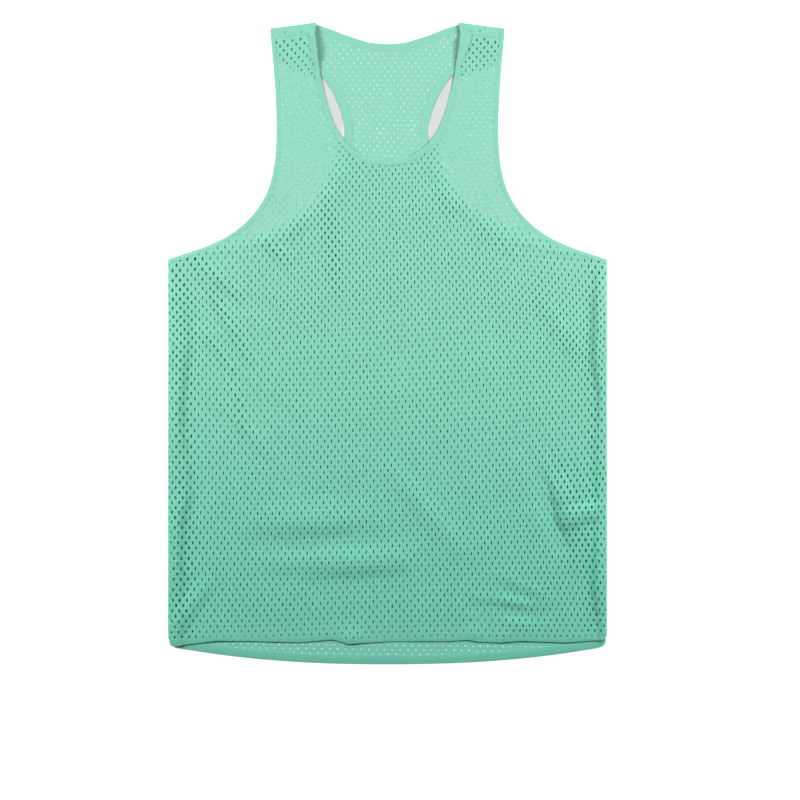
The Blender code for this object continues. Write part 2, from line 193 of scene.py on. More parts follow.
BACK_ARMHOLE = (
    Edge(130.6, 9.75, 6.5),
    Edge(128.4, 24.6, 6.5),
    Edge(120.5, 37.0, 7.0),
    Edge(103.8, 44.6, 8.0),
    Edge(87.1, 50.2, 9.0),
    Edge(75.9, 58.0, 9.3),
    Edge(65.3, 70.3, 9.3),
    Edge(56.9, 84.8, 9.3),
    Edge(50.8, 100.5, 9.3),
    Edge(47.4, 115.0, 9.3),
    Edge(46.8, 129.5, 9.3),
    Edge(48.6, 148.5, 9.3),
    Edge(54.1, 167.4, 9.0),
    Edge(62.5, 185.3, 9.0),
    Edge(73.7, 200.9, 8.5),
    Edge(88.2, 214.3, 8.0),
    Edge(108.3, 227.7, 7.5),
    Edge(133.9, 241.1, 7.0),
    Edge(165.2, 251.1, 6.5),
    Edge(200.9, 257.8, 6.5),
    Edge(HALF, UNDERARM, 6.5),
)
FRONT_HEM = (
    Reading(-HALF, 698.0),
    Reading(-228.0, 695.4),
    Reading(-209.0, 693.2),
    Reading(-192.0, 690.9),
    Reading(-140.0, 691.5),
    Reading(-98.0, 692.6),
    Reading(-61.0, 689.3),
    Reading(-44.0, 694.3),
    Reading(2.0, 691.6),
    Reading(70.0, 691.3),
    Reading(89.0, 689.8),
    Reading(102.0, 692.0),
    Reading(126.0, 692.8),
    Reading(148.0, 690.9),
    Reading(198.0, 692.8),
    Reading(225.0, 690.7),
    Reading(HALF, 689.8),
)
# The back lies a little skewed under the front: how far it leans to the right at each drop.
BACK_LEAN = (
    Reading(30.0, 0.0),
    Reading(75.0, -1.1),
    Reading(130.0, -1.5),
    Reading(167.0, 0.7),
    Reading(190.0, 1.5),
    Reading(214.0, 6.0),
    Reading(232.0, 9.0),
    Reading(245.0, 6.0),
    Reading(UNDERARM, 0.0),
)
ROLLS = {
    Side.LEFT: (
        Roll(UNDERARM, 10.0, 0.5),
        Roll(300.0, 26.0, 2.5),
        Roll(360.0, 31.0, 5.0),
        Roll(411.0, 22.0, 7.0),
        Roll(450.0, 20.0, 7.0),
        Roll(500.0, 31.0, 6.0),
        Roll(528.0, 33.0, 6.0),
        Roll(561.0, 20.0, 7.0),
        Roll(600.0, 19.0, 7.0),
        Roll(634.0, 22.0, 5.0),
        Roll(690.0, 20.0, 3.0),
    ),
    Side.RIGHT: (
        Roll(UNDERARM, 10.0, 1.0),
        Roll(288.0, 17.0, 5.0),
        Roll(333.0, 19.0, 6.5),
        Roll(377.0, 20.0, 6.5),
        Roll(416.0, 13.0, 5.0),
        Roll(467.0, 16.0, 3.5),
        Roll(540.0, 16.0, 4.0),
        Roll(589.0, 17.0, 6.0),
        Roll(634.0, 19.0, 6.0),
        Roll(679.0, 11.0, 3.5),
        Roll(700.0, 10.0, 2.0),
    ),
}
MAIN_FOLDS = (
    Fold(-213.0, 294.0, -120.0, 327.0, 15.0, -1.2),
    Fold(-192.0, 360.0, -140.0, 450.0, 15.0, -2.5),
    Fold(-140.0, 419.0, -107.0, 450.0, 14.0, -1.2),
    Fold(172.0, 509.0, 181.0, 539.0, 15.0, -3.0),
    Fold(181.0, 539.0, 195.0, 586.0, 15.0, -3.0),
    Fold(194.0, 517.0, 200.0, 556.0, 16.0, 4.0),
    Fold(200.0, 556.0, 239.0, 541.0, 16.0, 3.5),
    Fold(-146.0, 580.0, -25.0, 575.0, 20.0, -1.8),
    Fold(-75.0, 634.0, 14.0, 625.0, 19.0, -1.8),
    Fold(-131.0, 606.0, 14.0, 600.0, 17.0, 1.5),
    Fold(3.0, 500.0, 81.0, 589.0, 20.0, 1.2),
    Fold(-116.0, 511.0, -101.0, 511.0, 16.0, -1.0),
    Fold(-204.0, 628.0, -237.0, 679.0, 14.0, 3.0),
    Fold(98.0, 653.0, 176.0, 662.0, 13.0, -1.5),
    Fold(126.0, 628.0, 181.0, 653.0, 13.0, -1.2),
    Fold(-42.0, 686.0, -37.0, 686.0, 14.0, 2.0),
    Fold(96.0, 681.0, 100.0, 681.0, 14.0, 1.5),
    Fold(129.0, 684.0, 133.0, 684.0, 14.0, 1.5),
    Fold(-80.0, 16.0, -78.0, 49.0, 12.0, 2.2),
    Fold(83.5, 22.0, 84.0, 26.0, 11.0, 3.0),
    Fold(84.0, 26.0, 78.0, 49.0, 10.0, 2.2),
)
# Finer creases than the solids carry, and folds that are stronger in the soft cloth.
FINE_FOLDS = (
    Fold(-215.0, 260.0, -165.0, 310.0, 11.0, 2.4, 0.7),
    Fold(-218.0, 262.0, -154.0, 377.0, 11.0, 2.6, 0.6),
    Fold(-209.0, 344.0, -174.0, 388.0, 10.0, 2.4, 0.5),
    Fold(-174.0, 388.0, -159.0, 455.0, 10.0, 2.4, 0.5),
    Fold(-140.0, 243.0, -112.0, 266.0, 12.0, 2.0, 0.8),
    Fold(-70.0, 188.0, -58.0, 296.0, 15.0, 2.0, 0.6),
    Fold(-118.0, 250.0, -78.0, 196.0, 12.0, 1.2, 0.5),
    Fold(60.0, 190.0, 72.0, 215.0, 14.0, 1.2, 0.35),
    Fold(100.0, 230.0, 150.0, 262.0, 14.0, 1.0, 0.3),
    Fold(-187.0, 424.0, -140.0, 478.0, 12.0, 1.2, 0.25),
    Fold(172.0, 315.0, 216.0, 378.0, 16.0, 1.4, 0.45),
    Fold(196.0, 500.0, 214.0, 590.0, 34.0, 2.0, 0.7),
    Fold(128.0, 668.0, 160.0, 676.0, 14.0, 1.0, 0.4),
    Fold(172.0, 509.0, 181.0, 539.0, 8.0, -2.0),
    Fold(181.0, 539.0, 195.0, 586.0, 8.0, -2.0),
    Fold(180.0, 503.0, 186.0, 546.0, 9.0, 2.6),
    Fold(186.0, 546.0, 199.0, 578.0, 9.0, 1.6),
    Fold(192.0, 540.0, 238.0, 534.0, 6.0, -1.0),
    Fold(-146.0, 560.0, -25.0, 556.0, 32.0, 2.8),
    Fold(-80.0, 606.0, 14.0, 600.0, 28.0, 1.8),
    Fold(98.0, 644.0, 176.0, 652.0, 11.0, 1.4),
    Fold(126.0, 620.0, 181.0, 645.0, 11.0, 1.0),
    Fold(3.0, 496.0, 81.0, 585.0, 16.0, 0.8),
    Fold(-80.0, 10.0, -77.0, 40.0, 10.0, 3.2),
    Fold(-228.0, 400.0, -229.0, 470.0, 13.0, 1.6),
    Fold(-228.0, 540.0, -230.0, 620.0, 13.0, 1.6),
    Fold(232.0, 300.0, 233.0, 400.0, 13.0, 1.8),
    Fold(232.0, 560.0, 234.0, 650.0, 13.0, 1.8),
)
# The small waves that all the front has.
WAVES = (
    Wave(0.071, 0.023, 0.7),
    Wave(-0.043, 0.059, 2.1),
    Wave(0.112, -0.037, 4.0),
    Wave(0.031, 0.097, 5.2),
)
MIDDLE_LIFT = (
    Reading(0.0, 0.2),
    Reading(200.0, 0.2),
    Reading(400.0, 0.3),
    Reading(560.0, 0.35),
    Reading(670.0, 0.4),
    Reading(690.0, 0.45),
)

# Guide columns of the knit holes, counted from the one on the centre line.
GUIDES = (-28.0, -16.0, -8.0, 8.0, 16.0, 28.0)
FRONT_COURSES = (
    Course(-84.0, (-212.0, -123.5, -49.5, 49.0, 117.0, 210.0), (11.5, 13.5, 2.0, 11.5, -1.5, -10.0)),
    Course(-70.0, (-228.0, -125.5, -63.5, 52.0, 115.0, 206.0), (95.0, 82.5, 75.5, 69.0, 67.5, 64.0)),
    Course(-54.0, (-216.0, -123.0, -61.0, 56.0, 115.5, 207.0), (165.0, 163.5, 155.5, 147.0, 145.0, 139.0)),
    Course(-42.0, (-222.0, -124.0, -62.0, 58.0, 118.0, 210.0), (219.0, 217.0, 215.0, 208.0, 204.0, 199.0)),
    Course(-30.0, (-223.0, -123.0, -61.5, 60.5, 122.0, 213.0), (288.0, 282.0, 276.5, 269.5, 270.0, 278.0)),
    Course(-18.0, (-222.0, -124.0, -62.0, 62.0, 125.0, 215.0), (348.0, 342.0, 338.5, 330.5, 329.0, 338.0)),
    Course(-6.0, (-223.0, -125.0, -62.0, 63.5, 126.0, 213.0), (409.0, 411.0, 410.0, 402.5, 398.0, 394.0)),
    Course(6.0, (-223.0, -126.0, -62.5, 63.0, 125.0, 213.0), (480.0, 481.0, 479.5, 474.5, 471.0, 464.0)),
    Course(24.0, (-225.0, -130.0, -64.5, 65.5, 127.0, 210.0), (581.0, 582.0, 581.0, 577.0, 575.0, 572.0)),
    Course(42.0, (-229.0, -135.0, -67.5, 68.5, 133.0, 217.0), (686.0, 685.0, 682.5, 679.0, 679.0, 679.0)),
)
BACK_COURSES = (
    Course(-80.0, (-217.5, -149.5, -63.0, 63.5, 129.0, 217.5), (4.5, 10.0, 15.5, 18.0, 30.5, 27.5)),
    Course(-66.0, (-219.0, -126.0, -63.0, 60.0, 118.0, 219.0), (71.0, 85.5, 84.5, 85.5, 85.0, 95.0)),
    Course(-52.0, (-220.5, -125.5, -62.0, 63.5, 127.5, 220.5), (144.5, 148.0, 150.5, 157.5, 159.5, 164.0)),
    Course(-30.0, (-226.0, -128.0, -63.5, 66.0, 130.0, 224.0), (288.0, 282.0, 277.0, 270.5, 270.0, 276.0)),
    Course(-18.0, (-229.0, -130.0, -64.0, 67.5, 132.0, 227.0), (348.0, 342.0, 338.5, 331.0, 329.0, 336.0)),
    Course(-6.0, (-231.0, -131.0, -64.0, 69.0, 134.0, 229.0), (409.0, 411.0, 409.5, 402.5, 399.0, 395.0)),
    Course(6.0, (-231.0, -131.0, -64.0, 69.5, 135.0, 230.0), (480.0, 481.0, 479.5, 473.5, 470.0, 466.0)),
    Course(26.0, (-230.0, -130.0, -63.0, 71.0, 136.0, 228.0), (588.0, 589.0, 588.0, 584.0, 582.0, 579.0)),
    Course(34.0, (-229.0, -129.0, -62.0, 72.0, 137.0, 226.0), (633.0, 633.0, 631.0, 628.0, 628.0, 628.0)),
    Course(49.0, (-236.0, -135.0, -64.5, 74.5, 142.0, 242.0), (701.0, 703.0, 704.0, 706.0, 707.0, 708.0)),
)
FRONT_HOLES = (
    Hole(0.0, 1.9, 3.6),
    Hole(38.0, 1.6, 3.2),
    Hole(55.0, 1.4, 2.6),
    Hole(140.0, 1.4, 3.0),
    Hole(200.0, 1.3, 4.2),
    Hole(300.0, 1.25, 4.3),
    Hole(660.0, 1.4, 4.3),
    Hole(680.0, 1.5, 2.8),
)
BACK_HOLES = (
    Hole(0.0, 2.0, 2.6),
    Hole(150.0, 2.1, 2.8),
    Hole(250.0, 1.6, 4.0),
    Hole(650.0, 1.6, 4.0),
    Hole(690.0, 2.3, 2.9),
)
LEAST_STATIONS = 4  # of a curve
FINER = 12  # points worked out for each station of a curve, to space the stations evenly
ENCLOSED = 1  # makes the triangulation keep only what its closed loops enclose
TOUCHING = 1e-7  # millimetres within which it takes two points as one

# Corners of a hole as shares of its half width and half height: upright, with blunt ends.
HOLE_SHAPE = ((0.0, 1.0), (-1.0, 0.6), (-1.0, -0.6), (0.0, -1.0), (1.0, -0.6), (1.0, 0.6))


def column(rows: Sequence[object], name: str) -> Array:
    """One column of a table."""
    return np.array([getattr(row, name) for row in rows], dtype=float)


def read(rows: Sequence[object], at: Array, key: str = "at", value: str = "value") -> Array:
    """A table's column read at given values of another, straight between its rows."""
    return np.interp(at, column(rows, key), column(rows, value))


def hermite(knots: Array, values: Array, at: Array) -> Array:
    """A smooth curve through values at knots, straight beyond its ends.

    Between two knots it is the cubic that meets both values with the mean slopes found there.

    Args:
        knots: Rising places of the values, shape (n,).
        values: Values at the knots, shape (n, m).
        at: Places to read, shape (k,).

    Returns:
        The curve there, shape (k, m).
    """
    slopes = np.gradient(values, knots, axis=0)
    inside = np.clip(at, knots[0], knots[-1])
    cell = np.clip(np.searchsorted(knots, inside, side="right") - 1, 0, len(knots) - 2)
    span = (knots[cell + 1] - knots[cell])[:, None]
    t = (inside - knots[cell])[:, None] / span
    beyond = (at - inside)[:, None]
    end = slopes[np.where(at < knots[0], 0, len(knots) - 1)]
    return (
        (2 * t**3 - 3 * t**2 + 1) * values[cell]
        + (t**3 - 2 * t**2 + t) * span * slopes[cell]
        + (3 * t**2 - 2 * t**3) * values[cell + 1]
        + (t**3 - t**2) * span * slopes[cell + 1]
        + beyond * end
    )


def smooth_step(share: Array) -> Array:
    """Eases from 0 to 1 while share goes from 0 to 1: three squares less two cubes."""
    held = np.clip(share, 0.0, 1.0)
    return held * held * (3.0 - 2.0 * held)


def profile(fold: Fold, x: Array, drop: Array) -> Array:
    """Share of one fold: 1 on its line's middle, fading to 0 at its reach, and half at its ends.

    Args:
        fold: The fold.
        x: Places across.
        drop: Their drops.

    Returns:
        The share at each place.
    """
    run_x, run_d = fold.x1 - fold.x0, fold.drop1 - fold.drop0
    share = ((x - fold.x0) * run_x + (drop - fold.drop0) * run_d) / (run_x**2 + run_d**2)
    nearest = np.clip(share, 0.0, 1.0)
    away = np.hypot(x - fold.x0 - nearest * run_x, drop - fold.drop0 - nearest * run_d)
    fade = np.clip(1.0 - (away / fold.reach) ** 2, 0.0, 1.0) ** 2
    return fade * (1.0 - 0.5 * (2.0 * nearest - 1.0) ** 2)


@dataclass(frozen=True)
class Lie:
    """How the garment lies: the middle surfaces of its back and front, in millimetres."""

    back_z: float = 0.52  # height of the back's middle surface
    front_z: float = 1.6  # height of the front's where it would touch the back
    thickness: float = 0.5  # of the knit
    shoulder_loft: float = 2.62  # how far the front is lifted at the shoulder folds
    side_lift: float = 1.1  # how much more the body is lifted at its sides
    side_fade: float = 14.0  # distance from the side fold over which folds fade in
    body_fade: float = 40.0  # distance below the underarms over which the side rolls fade in
    shoulder_hold: float = 12.0  # drop down to which the shoulder's lift stays whole
    shoulder_fade: float = 45.0  # distance over which it then fades out
    soft: float = 0.2  # how softly the lift is kept above zero
    side_bend: float = 3.0  # how far in from the side fold the front turns down to the back
    side_foot: float = 0.55  # height at which its side seam lies
    roll_shape: float = 3.0  # 2 is a quarter round, more is boxier
    hem_radius: float = 0.35  # of the turned hems' folds
    hem_corner: float = 9.0  # radius of the hems' rounded corners
    sharp_corner: float = 2.5  # the same where the front hem ends at the right side
    tail: float = 20.0  # how far the back hem drops from the side to the middle
    tail_power: float = 2.3  # 2 is a parabola, more is flatter in the middle
    wrinkle: float = 0.15  # height of the small waves that all the front has
    table_z: float = 0.52  # height of the front's middle where it lies on the table, beside the back
    table_fade: float = 14.0  # how far from the back's edge it comes down to that
    table_waves: float = 0.25  # share of its lift that it keeps there
    neck_fold: tuple[float, float] = (79.8, 0.6)  # the shoulder fold's neck end: half and drop
    tip_fold: tuple[float, float] = (130.6, 7.3)  # its outer end
    seam_drop: float = 12.0  # from the shoulder fold to the shoulder seam, along the front
    bridge: float = 0.7  # how far the front is lifted where it runs over the back's bound edge
    bridge_width: float = 18.0
    bridge_shift: float = 0.4  # share of that width by which the lift lies inside the back's edge
    bridge_from: float = 120.0  # drop at which the lift starts
    bridge_ease: float = 40.0
    press: float = 0.3  # how far the front is pressed down under the back's shoulder flap
    press_reach: float = 8.0  # how far that goes past the seam
    press_ease: float = 4.0
    press_slope: float = 0.13  # of the shoulder seam, outward
    press_half: float = 81.0  # half width at the seam's neck end
    flap_lift: float = 0.3  # of the back's flap off the front
    flap_ease: float = 5.0
    flap_land: float = 3.0  # length over which the flap comes down from the shoulder fold
    binding_half: float = 0.45  # half the thickness of a bound edge

    @property
    def bend(self) -> float:
        """Radius of the shoulder fold."""
        return (self.front_z + self.shoulder_loft - self.back_z) / 2

    @property
    def fold_in(self) -> float:
        """From the shoulder fold's outer face to the centre of its bend."""
        return self.bend + self.binding_half

    @property
    def along_fold(self) -> Array:
        """Unit vector along the right shoulder fold, from the neck to the tip."""
        run = np.subtract(self.tip_fold, self.neck_fold)
        return run / np.linalg.norm(run)

    @property
    def over_fold(self) -> Array:
        """Unit vector at right angles to the right shoulder fold, up and away from the body."""
        along = self.along_fold
        return np.array((along[1], -along[0]))

    @property
    def fold_centre(self) -> Array:
        """The neck end of the line about which the shoulder bends."""
        return np.array(self.neck_fold) + np.array((0.0, self.fold_in))

    def side_roll(self, side: Side, inset: Array, drop: Array) -> Array:
        """Height of the roll at a side fold: a rounded shoulder, easing to nothing at its width.

        Args:
            side: Which side fold.
            inset: Distance in from it.
            drop: Drop of each place.

        Returns:
            The roll's height at each place.
        """
        width = read(ROLLS[side], drop, "drop", "width")
        rise = read(ROLLS[side], drop, "drop", "rise")
        across = np.clip(inset / width, 0.0, 1.0)
        power = self.roll_shape
        outer = (1.0 - np.clip(1.0 - 2.0 * across, 0.0, 1.0) ** power) ** (1.0 / power)
        inner = 0.5 + 0.5 * np.cos(np.pi * np.clip(2.0 * across - 1.0, 0.0, 1.0))
        return rise * np.where(across < 0.5, outer, inner)

    def waves(self, x: Array, drop: Array) -> Array:
        """Small waves of the cloth: a sum of slow sines in different directions, about zero."""
        return sum(np.sin(wave.across * x + wave.down * drop + wave.phase) for wave in WAVES)

    def past_back(self, x: Array, drop: Array) -> Array:
        """Distance beyond the back's armhole edge, below 0 over the back.

        It is the least of three: across to that edge, down from its upper branch and up from its lower
        one.

        Args:
            x: Places across.
            drop: Their drops.

        Returns:
            The distances.
        """
        half = np.abs(x - read(BACK_LEAN, drop))
        waist = int(np.argmin(column(BACK_ARMHOLE, "half")))
        upper, lower = BACK_ARMHOLE[waist::-1], BACK_ARMHOLE[waist:]
        across = half - read(BACK_ARMHOLE, drop, "drop", "half")
        down = drop - read(upper, half, "half", "drop")
        up = read(lower, half, "half", "drop") - drop
        return np.minimum(across, np.minimum(down, up))

    def loft(self, x: Array, drop: Array) -> Array:
        """How far the front is lifted above the place where it would touch the back.

        The middle's lift, a lift toward the sides, every fold and the waves are added, faded out at the
        side folds, then the side rolls and the shoulder's loft, and the sum is kept above zero softly.
        It rises a little to run over the back's bound edge, and beside the back it comes down to the
        table and keeps a share of its lift.

        Args:
            x: Places across.
            drop: Their drops.

        Returns:
            The lift at each place.
        """
        inset = HALF - np.abs(x)
        in_body = np.clip((drop - UNDERARM) / self.body_fade, 0.0, 1.0)
        middle = read(MIDDLE_LIFT, drop)
        lift = middle + self.side_lift * in_body * (x / HALF) ** 2
        for fold in MAIN_FOLDS + FINE_FOLDS:
            lift = lift + fold.rise * profile(fold, x, drop)
        lift = lift + self.wrinkle * self.waves(x, drop)
        lift = lift * np.clip(inset / self.side_fade, 0.0, 1.0) ** 0.5
        left = self.side_roll(Side.LEFT, inset, drop)
        right = self.side_roll(Side.RIGHT, inset, drop)
        lift = lift + in_body**0.5 * np.where(x < 0, left, right)
        below = np.clip((drop - self.shoulder_hold) / self.shoulder_fade, 0.0, 1.0)
        lift = lift + (self.shoulder_loft - middle) * (0.5 + 0.5 * np.cos(np.pi * below))
        lift = 0.5 * (lift + np.sqrt(lift**2 + self.soft**2))
        past = self.past_back(x, drop)
        across = (past + self.bridge_shift * self.bridge_width) / self.bridge_width
        over = np.clip(1.0 - across**2, 0.0, 1.0) ** 2
        lift = lift + self.bridge * over * smooth_step((drop - self.bridge_from) / self.bridge_ease)
        beside = smooth_step(past / self.table_fade)
        sunk = self.table_z - self.front_z + self.table_waves * lift
        return lift + beside * (sunk - lift)

    def corner(self, inset: Array, radius: Array) -> Array:
        """How far a hem rises at its rounded corner, by the distance from the side."""
        reach = np.clip(radius - inset, 0.0, radius)
        return radius - np.sqrt(radius**2 - reach**2)

    def front_hem(self, x: Array) -> Array:
        """Drop of the front hem, with its shallow waves.

        Args:
            x: Places across.

        Returns:
            The hem's drop there.
        """
        radius = np.where(x < 0, self.hem_corner, self.sharp_corner)
        return read(FRONT_HEM, x) - self.corner(np.clip(HALF - np.abs(x), 0.0, None), radius)

    def tail_hem(self, x: Array) -> Array:
        """Drop of the back hem, lowest in the middle.

        Args:
            x: Places across.

        Returns:
            The hem's drop there.
        """
        inset = np.clip(HALF - np.abs(x), 0.0, None)
        tail = LENGTH - self.tail * (np.abs(x) / HALF) ** self.tail_power
        return tail - self.corner(inset, np.full_like(x, self.hem_corner))

    def side_arc(self, side_x: Array, drop: Array) -> Array:
        """Length of the front's turn down at the side, from where it starts to the side seam."""
        height = self.front_z + self.loft(side_x, drop) - self.side_foot
        return 0.5 * np.pi * np.sqrt((self.side_bend**2 + height**2) / 2)

    def front_sheet(self, flat: Array) -> Array:
        """Points of the front without its turned hem.

        Up to the side bend a point keeps its place and has the loft's height. Beyond it the cloth follows
        a quarter of an ellipse down to the side seam.

        Args:
            flat: Flat places (x, drop), last axis 2.

        Returns:
            Points (x, drop, height).
        """
        across, drop = flat[..., 0], flat[..., 1]
        turn_x = HALF - self.side_bend
        held = np.clip(across, -turn_x, turn_x)
        top = self.front_z + self.loft(held, drop)
        outward = self.press_slope * (np.abs(across) - self.press_half) / self.press_ease
        up = (self.seam_drop + self.press_reach - drop) / self.press_ease
        top = top - self.press * smooth_step(up + outward)
        past = np.abs(across) - np.abs(held)
        arc = self.side_arc(held, drop)
        angle = 0.5 * np.pi * np.clip(past / arc, 0.0, 1.0)
        x = held + np.sign(across) * (self.side_bend - self.thickness / 2) * np.sin(angle)
        z = self.side_foot + (top - self.side_foot) * np.cos(angle)
        return np.stack([x, drop, z], axis=-1)

    def front(self, flat: Array) -> Array:
        """Points of the front with its hem turned under.

        Below the hem's fold the cloth goes round a half circle and then back up under itself.

        Args:
            flat: Flat places (x, drop), last axis 2.

        Returns:
            Points (x, drop, height).
        """
        radius = self.hem_radius
        plain = self.front_sheet(flat)
        hem = self.front_hem(plain[..., 0]) - radius - self.thickness / 2
        past = np.clip(flat[..., 1] - hem, 0.0, None)
        turn = np.clip(past / radius, 0.0, np.pi)
        back_up = np.clip(past - np.pi * radius, 0.0, None)
        level = np.minimum(flat[..., 1], hem) - back_up
        placed = self.front_sheet(np.stack([flat[..., 0], level], axis=-1))
        placed[..., 1] += radius * np.sin(turn)
        placed[..., 2] -= radius * (1.0 - np.cos(turn))
        return placed

    def back(self, flat: Array) -> Array:
        """Points of the back: flat on the table, its hem turned up, and its top bent over the shoulder.

        Past the shoulder's line the cloth goes round a half circle and then down on top of the front,
        to the seam.

        Args:
            flat: Flat places (x, drop), last axis 2.

        Returns:
            Points (x, drop, height).
        """
        x, drop = flat[..., 0], flat[..., 1]
        hem = self.tail_hem(x) - self.hem_radius - self.thickness / 2
        past = np.clip(drop - hem, 0.0, None)
        turn = np.clip(past / self.hem_radius, 0.0, np.pi)
        back_up = np.clip(past - np.pi * self.hem_radius, 0.0, None)
        level = np.minimum(drop, hem) - back_up + self.hem_radius * np.sin(turn)
        z = self.back_z + self.hem_radius * (1.0 - np.cos(turn))
        side = np.where(x < 0, -1.0, 1.0)
        over = (np.abs(x) - self.fold_centre[0]) * self.over_fold[0]
        over = over + (drop - self.fold_centre[1]) * self.over_fold[1]
        over = np.clip(over, 0.0, None)
        bent = np.clip(over / self.bend, 0.0, np.pi)
        down = np.clip(over - np.pi * self.bend, 0.0, None)
        moved = self.bend * np.sin(bent) - down - over
        level_x = x + side * self.over_fold[0] * moved
        level = level + self.over_fold[1] * moved
        bend_z = self.back_z + self.bend * (1.0 - np.cos(bent))
        flap_z = self.front_z + self.loft(level_x, level)
        flap_z = flap_z + self.flap_lift * smooth_step(down / self.flap_ease)
        z = np.where(over > 0.0, bend_z, z)
        z = z + smooth_step(down / self.flap_land) * (flap_z - z)
        return np.stack([level_x, level, z], axis=-1)

    def layer(self, flat: Array, layer: Array) -> Array:
        """Points on the back (layer 0), the front (1), or between them in the shoulder fold.

        Args:
            flat: Places (x, drop), last axis 2.
            layer: The layer at each place.

        Returns:
            Points (x, drop, height).
        """
        x, drop = flat[..., 0], flat[..., 1]
        lean = (1.0 - layer) * read(BACK_LEAN, drop) * (1.0 - (x / HALF) ** 2)
        z = self.back_z + layer * (self.front_z + self.loft(x, drop) - self.back_z)
        return np.stack([x + lean, drop, z], axis=-1)


def to_world(points: Array) -> Array:
    """Points (x, drop, height) in millimetres as world points in metres."""
    return np.stack([points[..., 0], LENGTH / 2 - points[..., 1], points[..., 2]], axis=-1) * MM


def surface_normals(surface: Surface, flat: Array, step: float = 0.2) -> Array:
    """Unit normals in the world: the cross product of a step across and a step up the cloth.

    Args:
        surface: The surface, from flat places to points.
        flat: Flat places (x, drop), last axis 2.
        step: Millimetres to either side for the two steps.

    Returns:
        Unit normals, last axis 3.
    """
    across = to_world(surface(flat + (step, 0.0))) - to_world(surface(flat - (step, 0.0)))
    up = to_world(surface(flat - (0.0, step))) - to_world(surface(flat + (0.0, step)))
    normal = np.cross(across, up)
    return normal / np.linalg.norm(normal, axis=-1, keepdims=True)


def lengths_along(points: Array) -> Array:
    """Length of a flat line from its start to each of its points."""
    return np.concatenate([[0.0], np.cumsum(np.hypot(*np.diff(points, axis=0).T))])


def edge_curve(rows: Sequence[Edge], spacing: float) -> Array:
    """Even stations of the smooth curve through a table of edges, as columns half, drop and binding.

    Args:
        rows: The table of edges.
        spacing: Millimetres between stations, about.

    Returns:
        The stations, shape (n, 3).
    """
    points = np.stack([column(rows, name) for name in ("half", "drop", "binding")], axis=1)
    knots = lengths_along(points[:, :2])
    count = max(LEAST_STATIONS, round(knots[-1] / spacing))
    fine = hermite(knots, points, np.linspace(0.0, knots[-1], FINER * count))
    run = lengths_along(fine[:, :2])
    even = np.linspace(0.0, run[-1], count)
    return np.stack([np.interp(even, run, fine[:, k]) for k in range(3)], axis=1)


def inward(points: Array, turn: float) -> Array:
    """Unit normals of a curve in (half, drop), on the side given by turn (+1 or -1).

    Args:
        points: The curve's points; half and drop are the first two columns.
        turn: Which side.

    Returns:
        Unit normals, shape (n, 2).
    """
    tangent = np.gradient(points[:, :2], axis=0)
    normal = turn * np.stack([tangent[:, 1], -tangent[:, 0]], axis=1)
    return normal / np.linalg.norm(normal, axis=1, keepdims=True)


def new_object(
    name: str, points: Array, faces: list[list[int]], flat: Array | None = None
) -> bpy.types.Object:
    """Puts a mesh in the scene.

    Args:
        name: Name of the piece.
        points: World points in metres.
        faces: Corners of each face.
        flat: Places of the points in the flat cloth, in millimetres, kept as the piece's UV map in
            metres.

    Returns:
        The piece, at the origin.
    """
    mesh = bpy.data.meshes.new(name)
    mesh.from_pydata(points.tolist(), [], faces)
    mesh.update()
    if flat is not None:
        corners = np.empty(len(mesh.loops), dtype=np.int32)
        mesh.loops.foreach_get("vertex_index", corners)
        layer = mesh.uv_layers.new(name="Cloth")
        layer.data.foreach_set("uv", (flat[corners] * MM).astype(np.float32).ravel())
    piece = bpy.data.objects.new(name, mesh)
    bpy.context.scene.collection.objects.link(piece)
    return piece


def shade(piece: bpy.types.Object, angle: float) -> None:
    """Shades a piece smoothly, with edges sharper than an angle in degrees kept crisp.

    Args:
        piece: The piece.
        angle: The angle in degrees.
    """
    mesh = piece.data
    mesh.polygons.foreach_set("use_smooth", np.ones(len(mesh.polygons), dtype=bool))
    mesh.set_sharp_from_angle(angle=math.radians(angle))
    mesh.update()


@dataclass(frozen=True)
class KnitHoles:
    """The holes of a porthole-mesh knit: a staggered lattice of upright slots."""

    courses: tuple[Course, ...]
    holes: tuple[Hole, ...]
    first_row: int
    last_row: int
    columns: int = 36
    wander: float = 0.12  # how far a hole may stray from the lattice
    uneven: float = 0.05  # share by which its size may differ
    seed: int = 7

    def lattice(self) -> Array:
        """Centres (x, drop) of all holes.

        Even rows have their holes on whole columns and odd rows half a column on. A hole's place is the
        guide table read by a smooth curve along the rows and another across the columns.

        Returns:
            The centres, shape (n, 2).
        """
        rows = np.arange(self.first_row, self.last_row + 1)
        columns = np.arange(-self.columns, self.columns + 1)
        row, col = np.meshgrid(rows, columns, indexing="ij")
        col = col + 0.5 * (row % 2)
        down = hermite(column(self.courses, "row"), np.eye(len(self.courses)), row.ravel().astype(float))
        over = hermite(np.array(GUIDES), np.eye(len(GUIDES)), col.ravel())
        guide_x = np.array([course.x for course in self.courses])
        guide_drop = np.array([course.drop for course in self.courses])
        centres = np.stack([np.einsum("ni,ij,nj->n", down, g, over) for g in (guide_x, guide_drop)], axis=1)
        return centres + np.random.default_rng(self.seed).normal(0.0, self.wander, centres.shape)

    def cut(self, centres: Array, widen: Array) -> Array:
        """Corners of each hole, shape (holes, corners, 2), widths scaled by widen.

        Args:
            centres: The holes' centres, shape (n, 2).
            widen: How much wider each hole is.

        Returns:
            The corners.
        """
        vary = np.random.default_rng(self.seed + 1).normal(1.0, self.uneven, (len(centres), 2))
        half_w = read(self.holes, centres[:, 1], "drop", "width") / 2 * vary[:, 0] * widen
        half_h = read(self.holes, centres[:, 1], "drop", "height") / 2 * vary[:, 1]
        size = np.stack([half_w, half_h], axis=1)
        return centres[:, None, :] + np.array(HOLE_SHAPE)[None] * size[:, None, :]


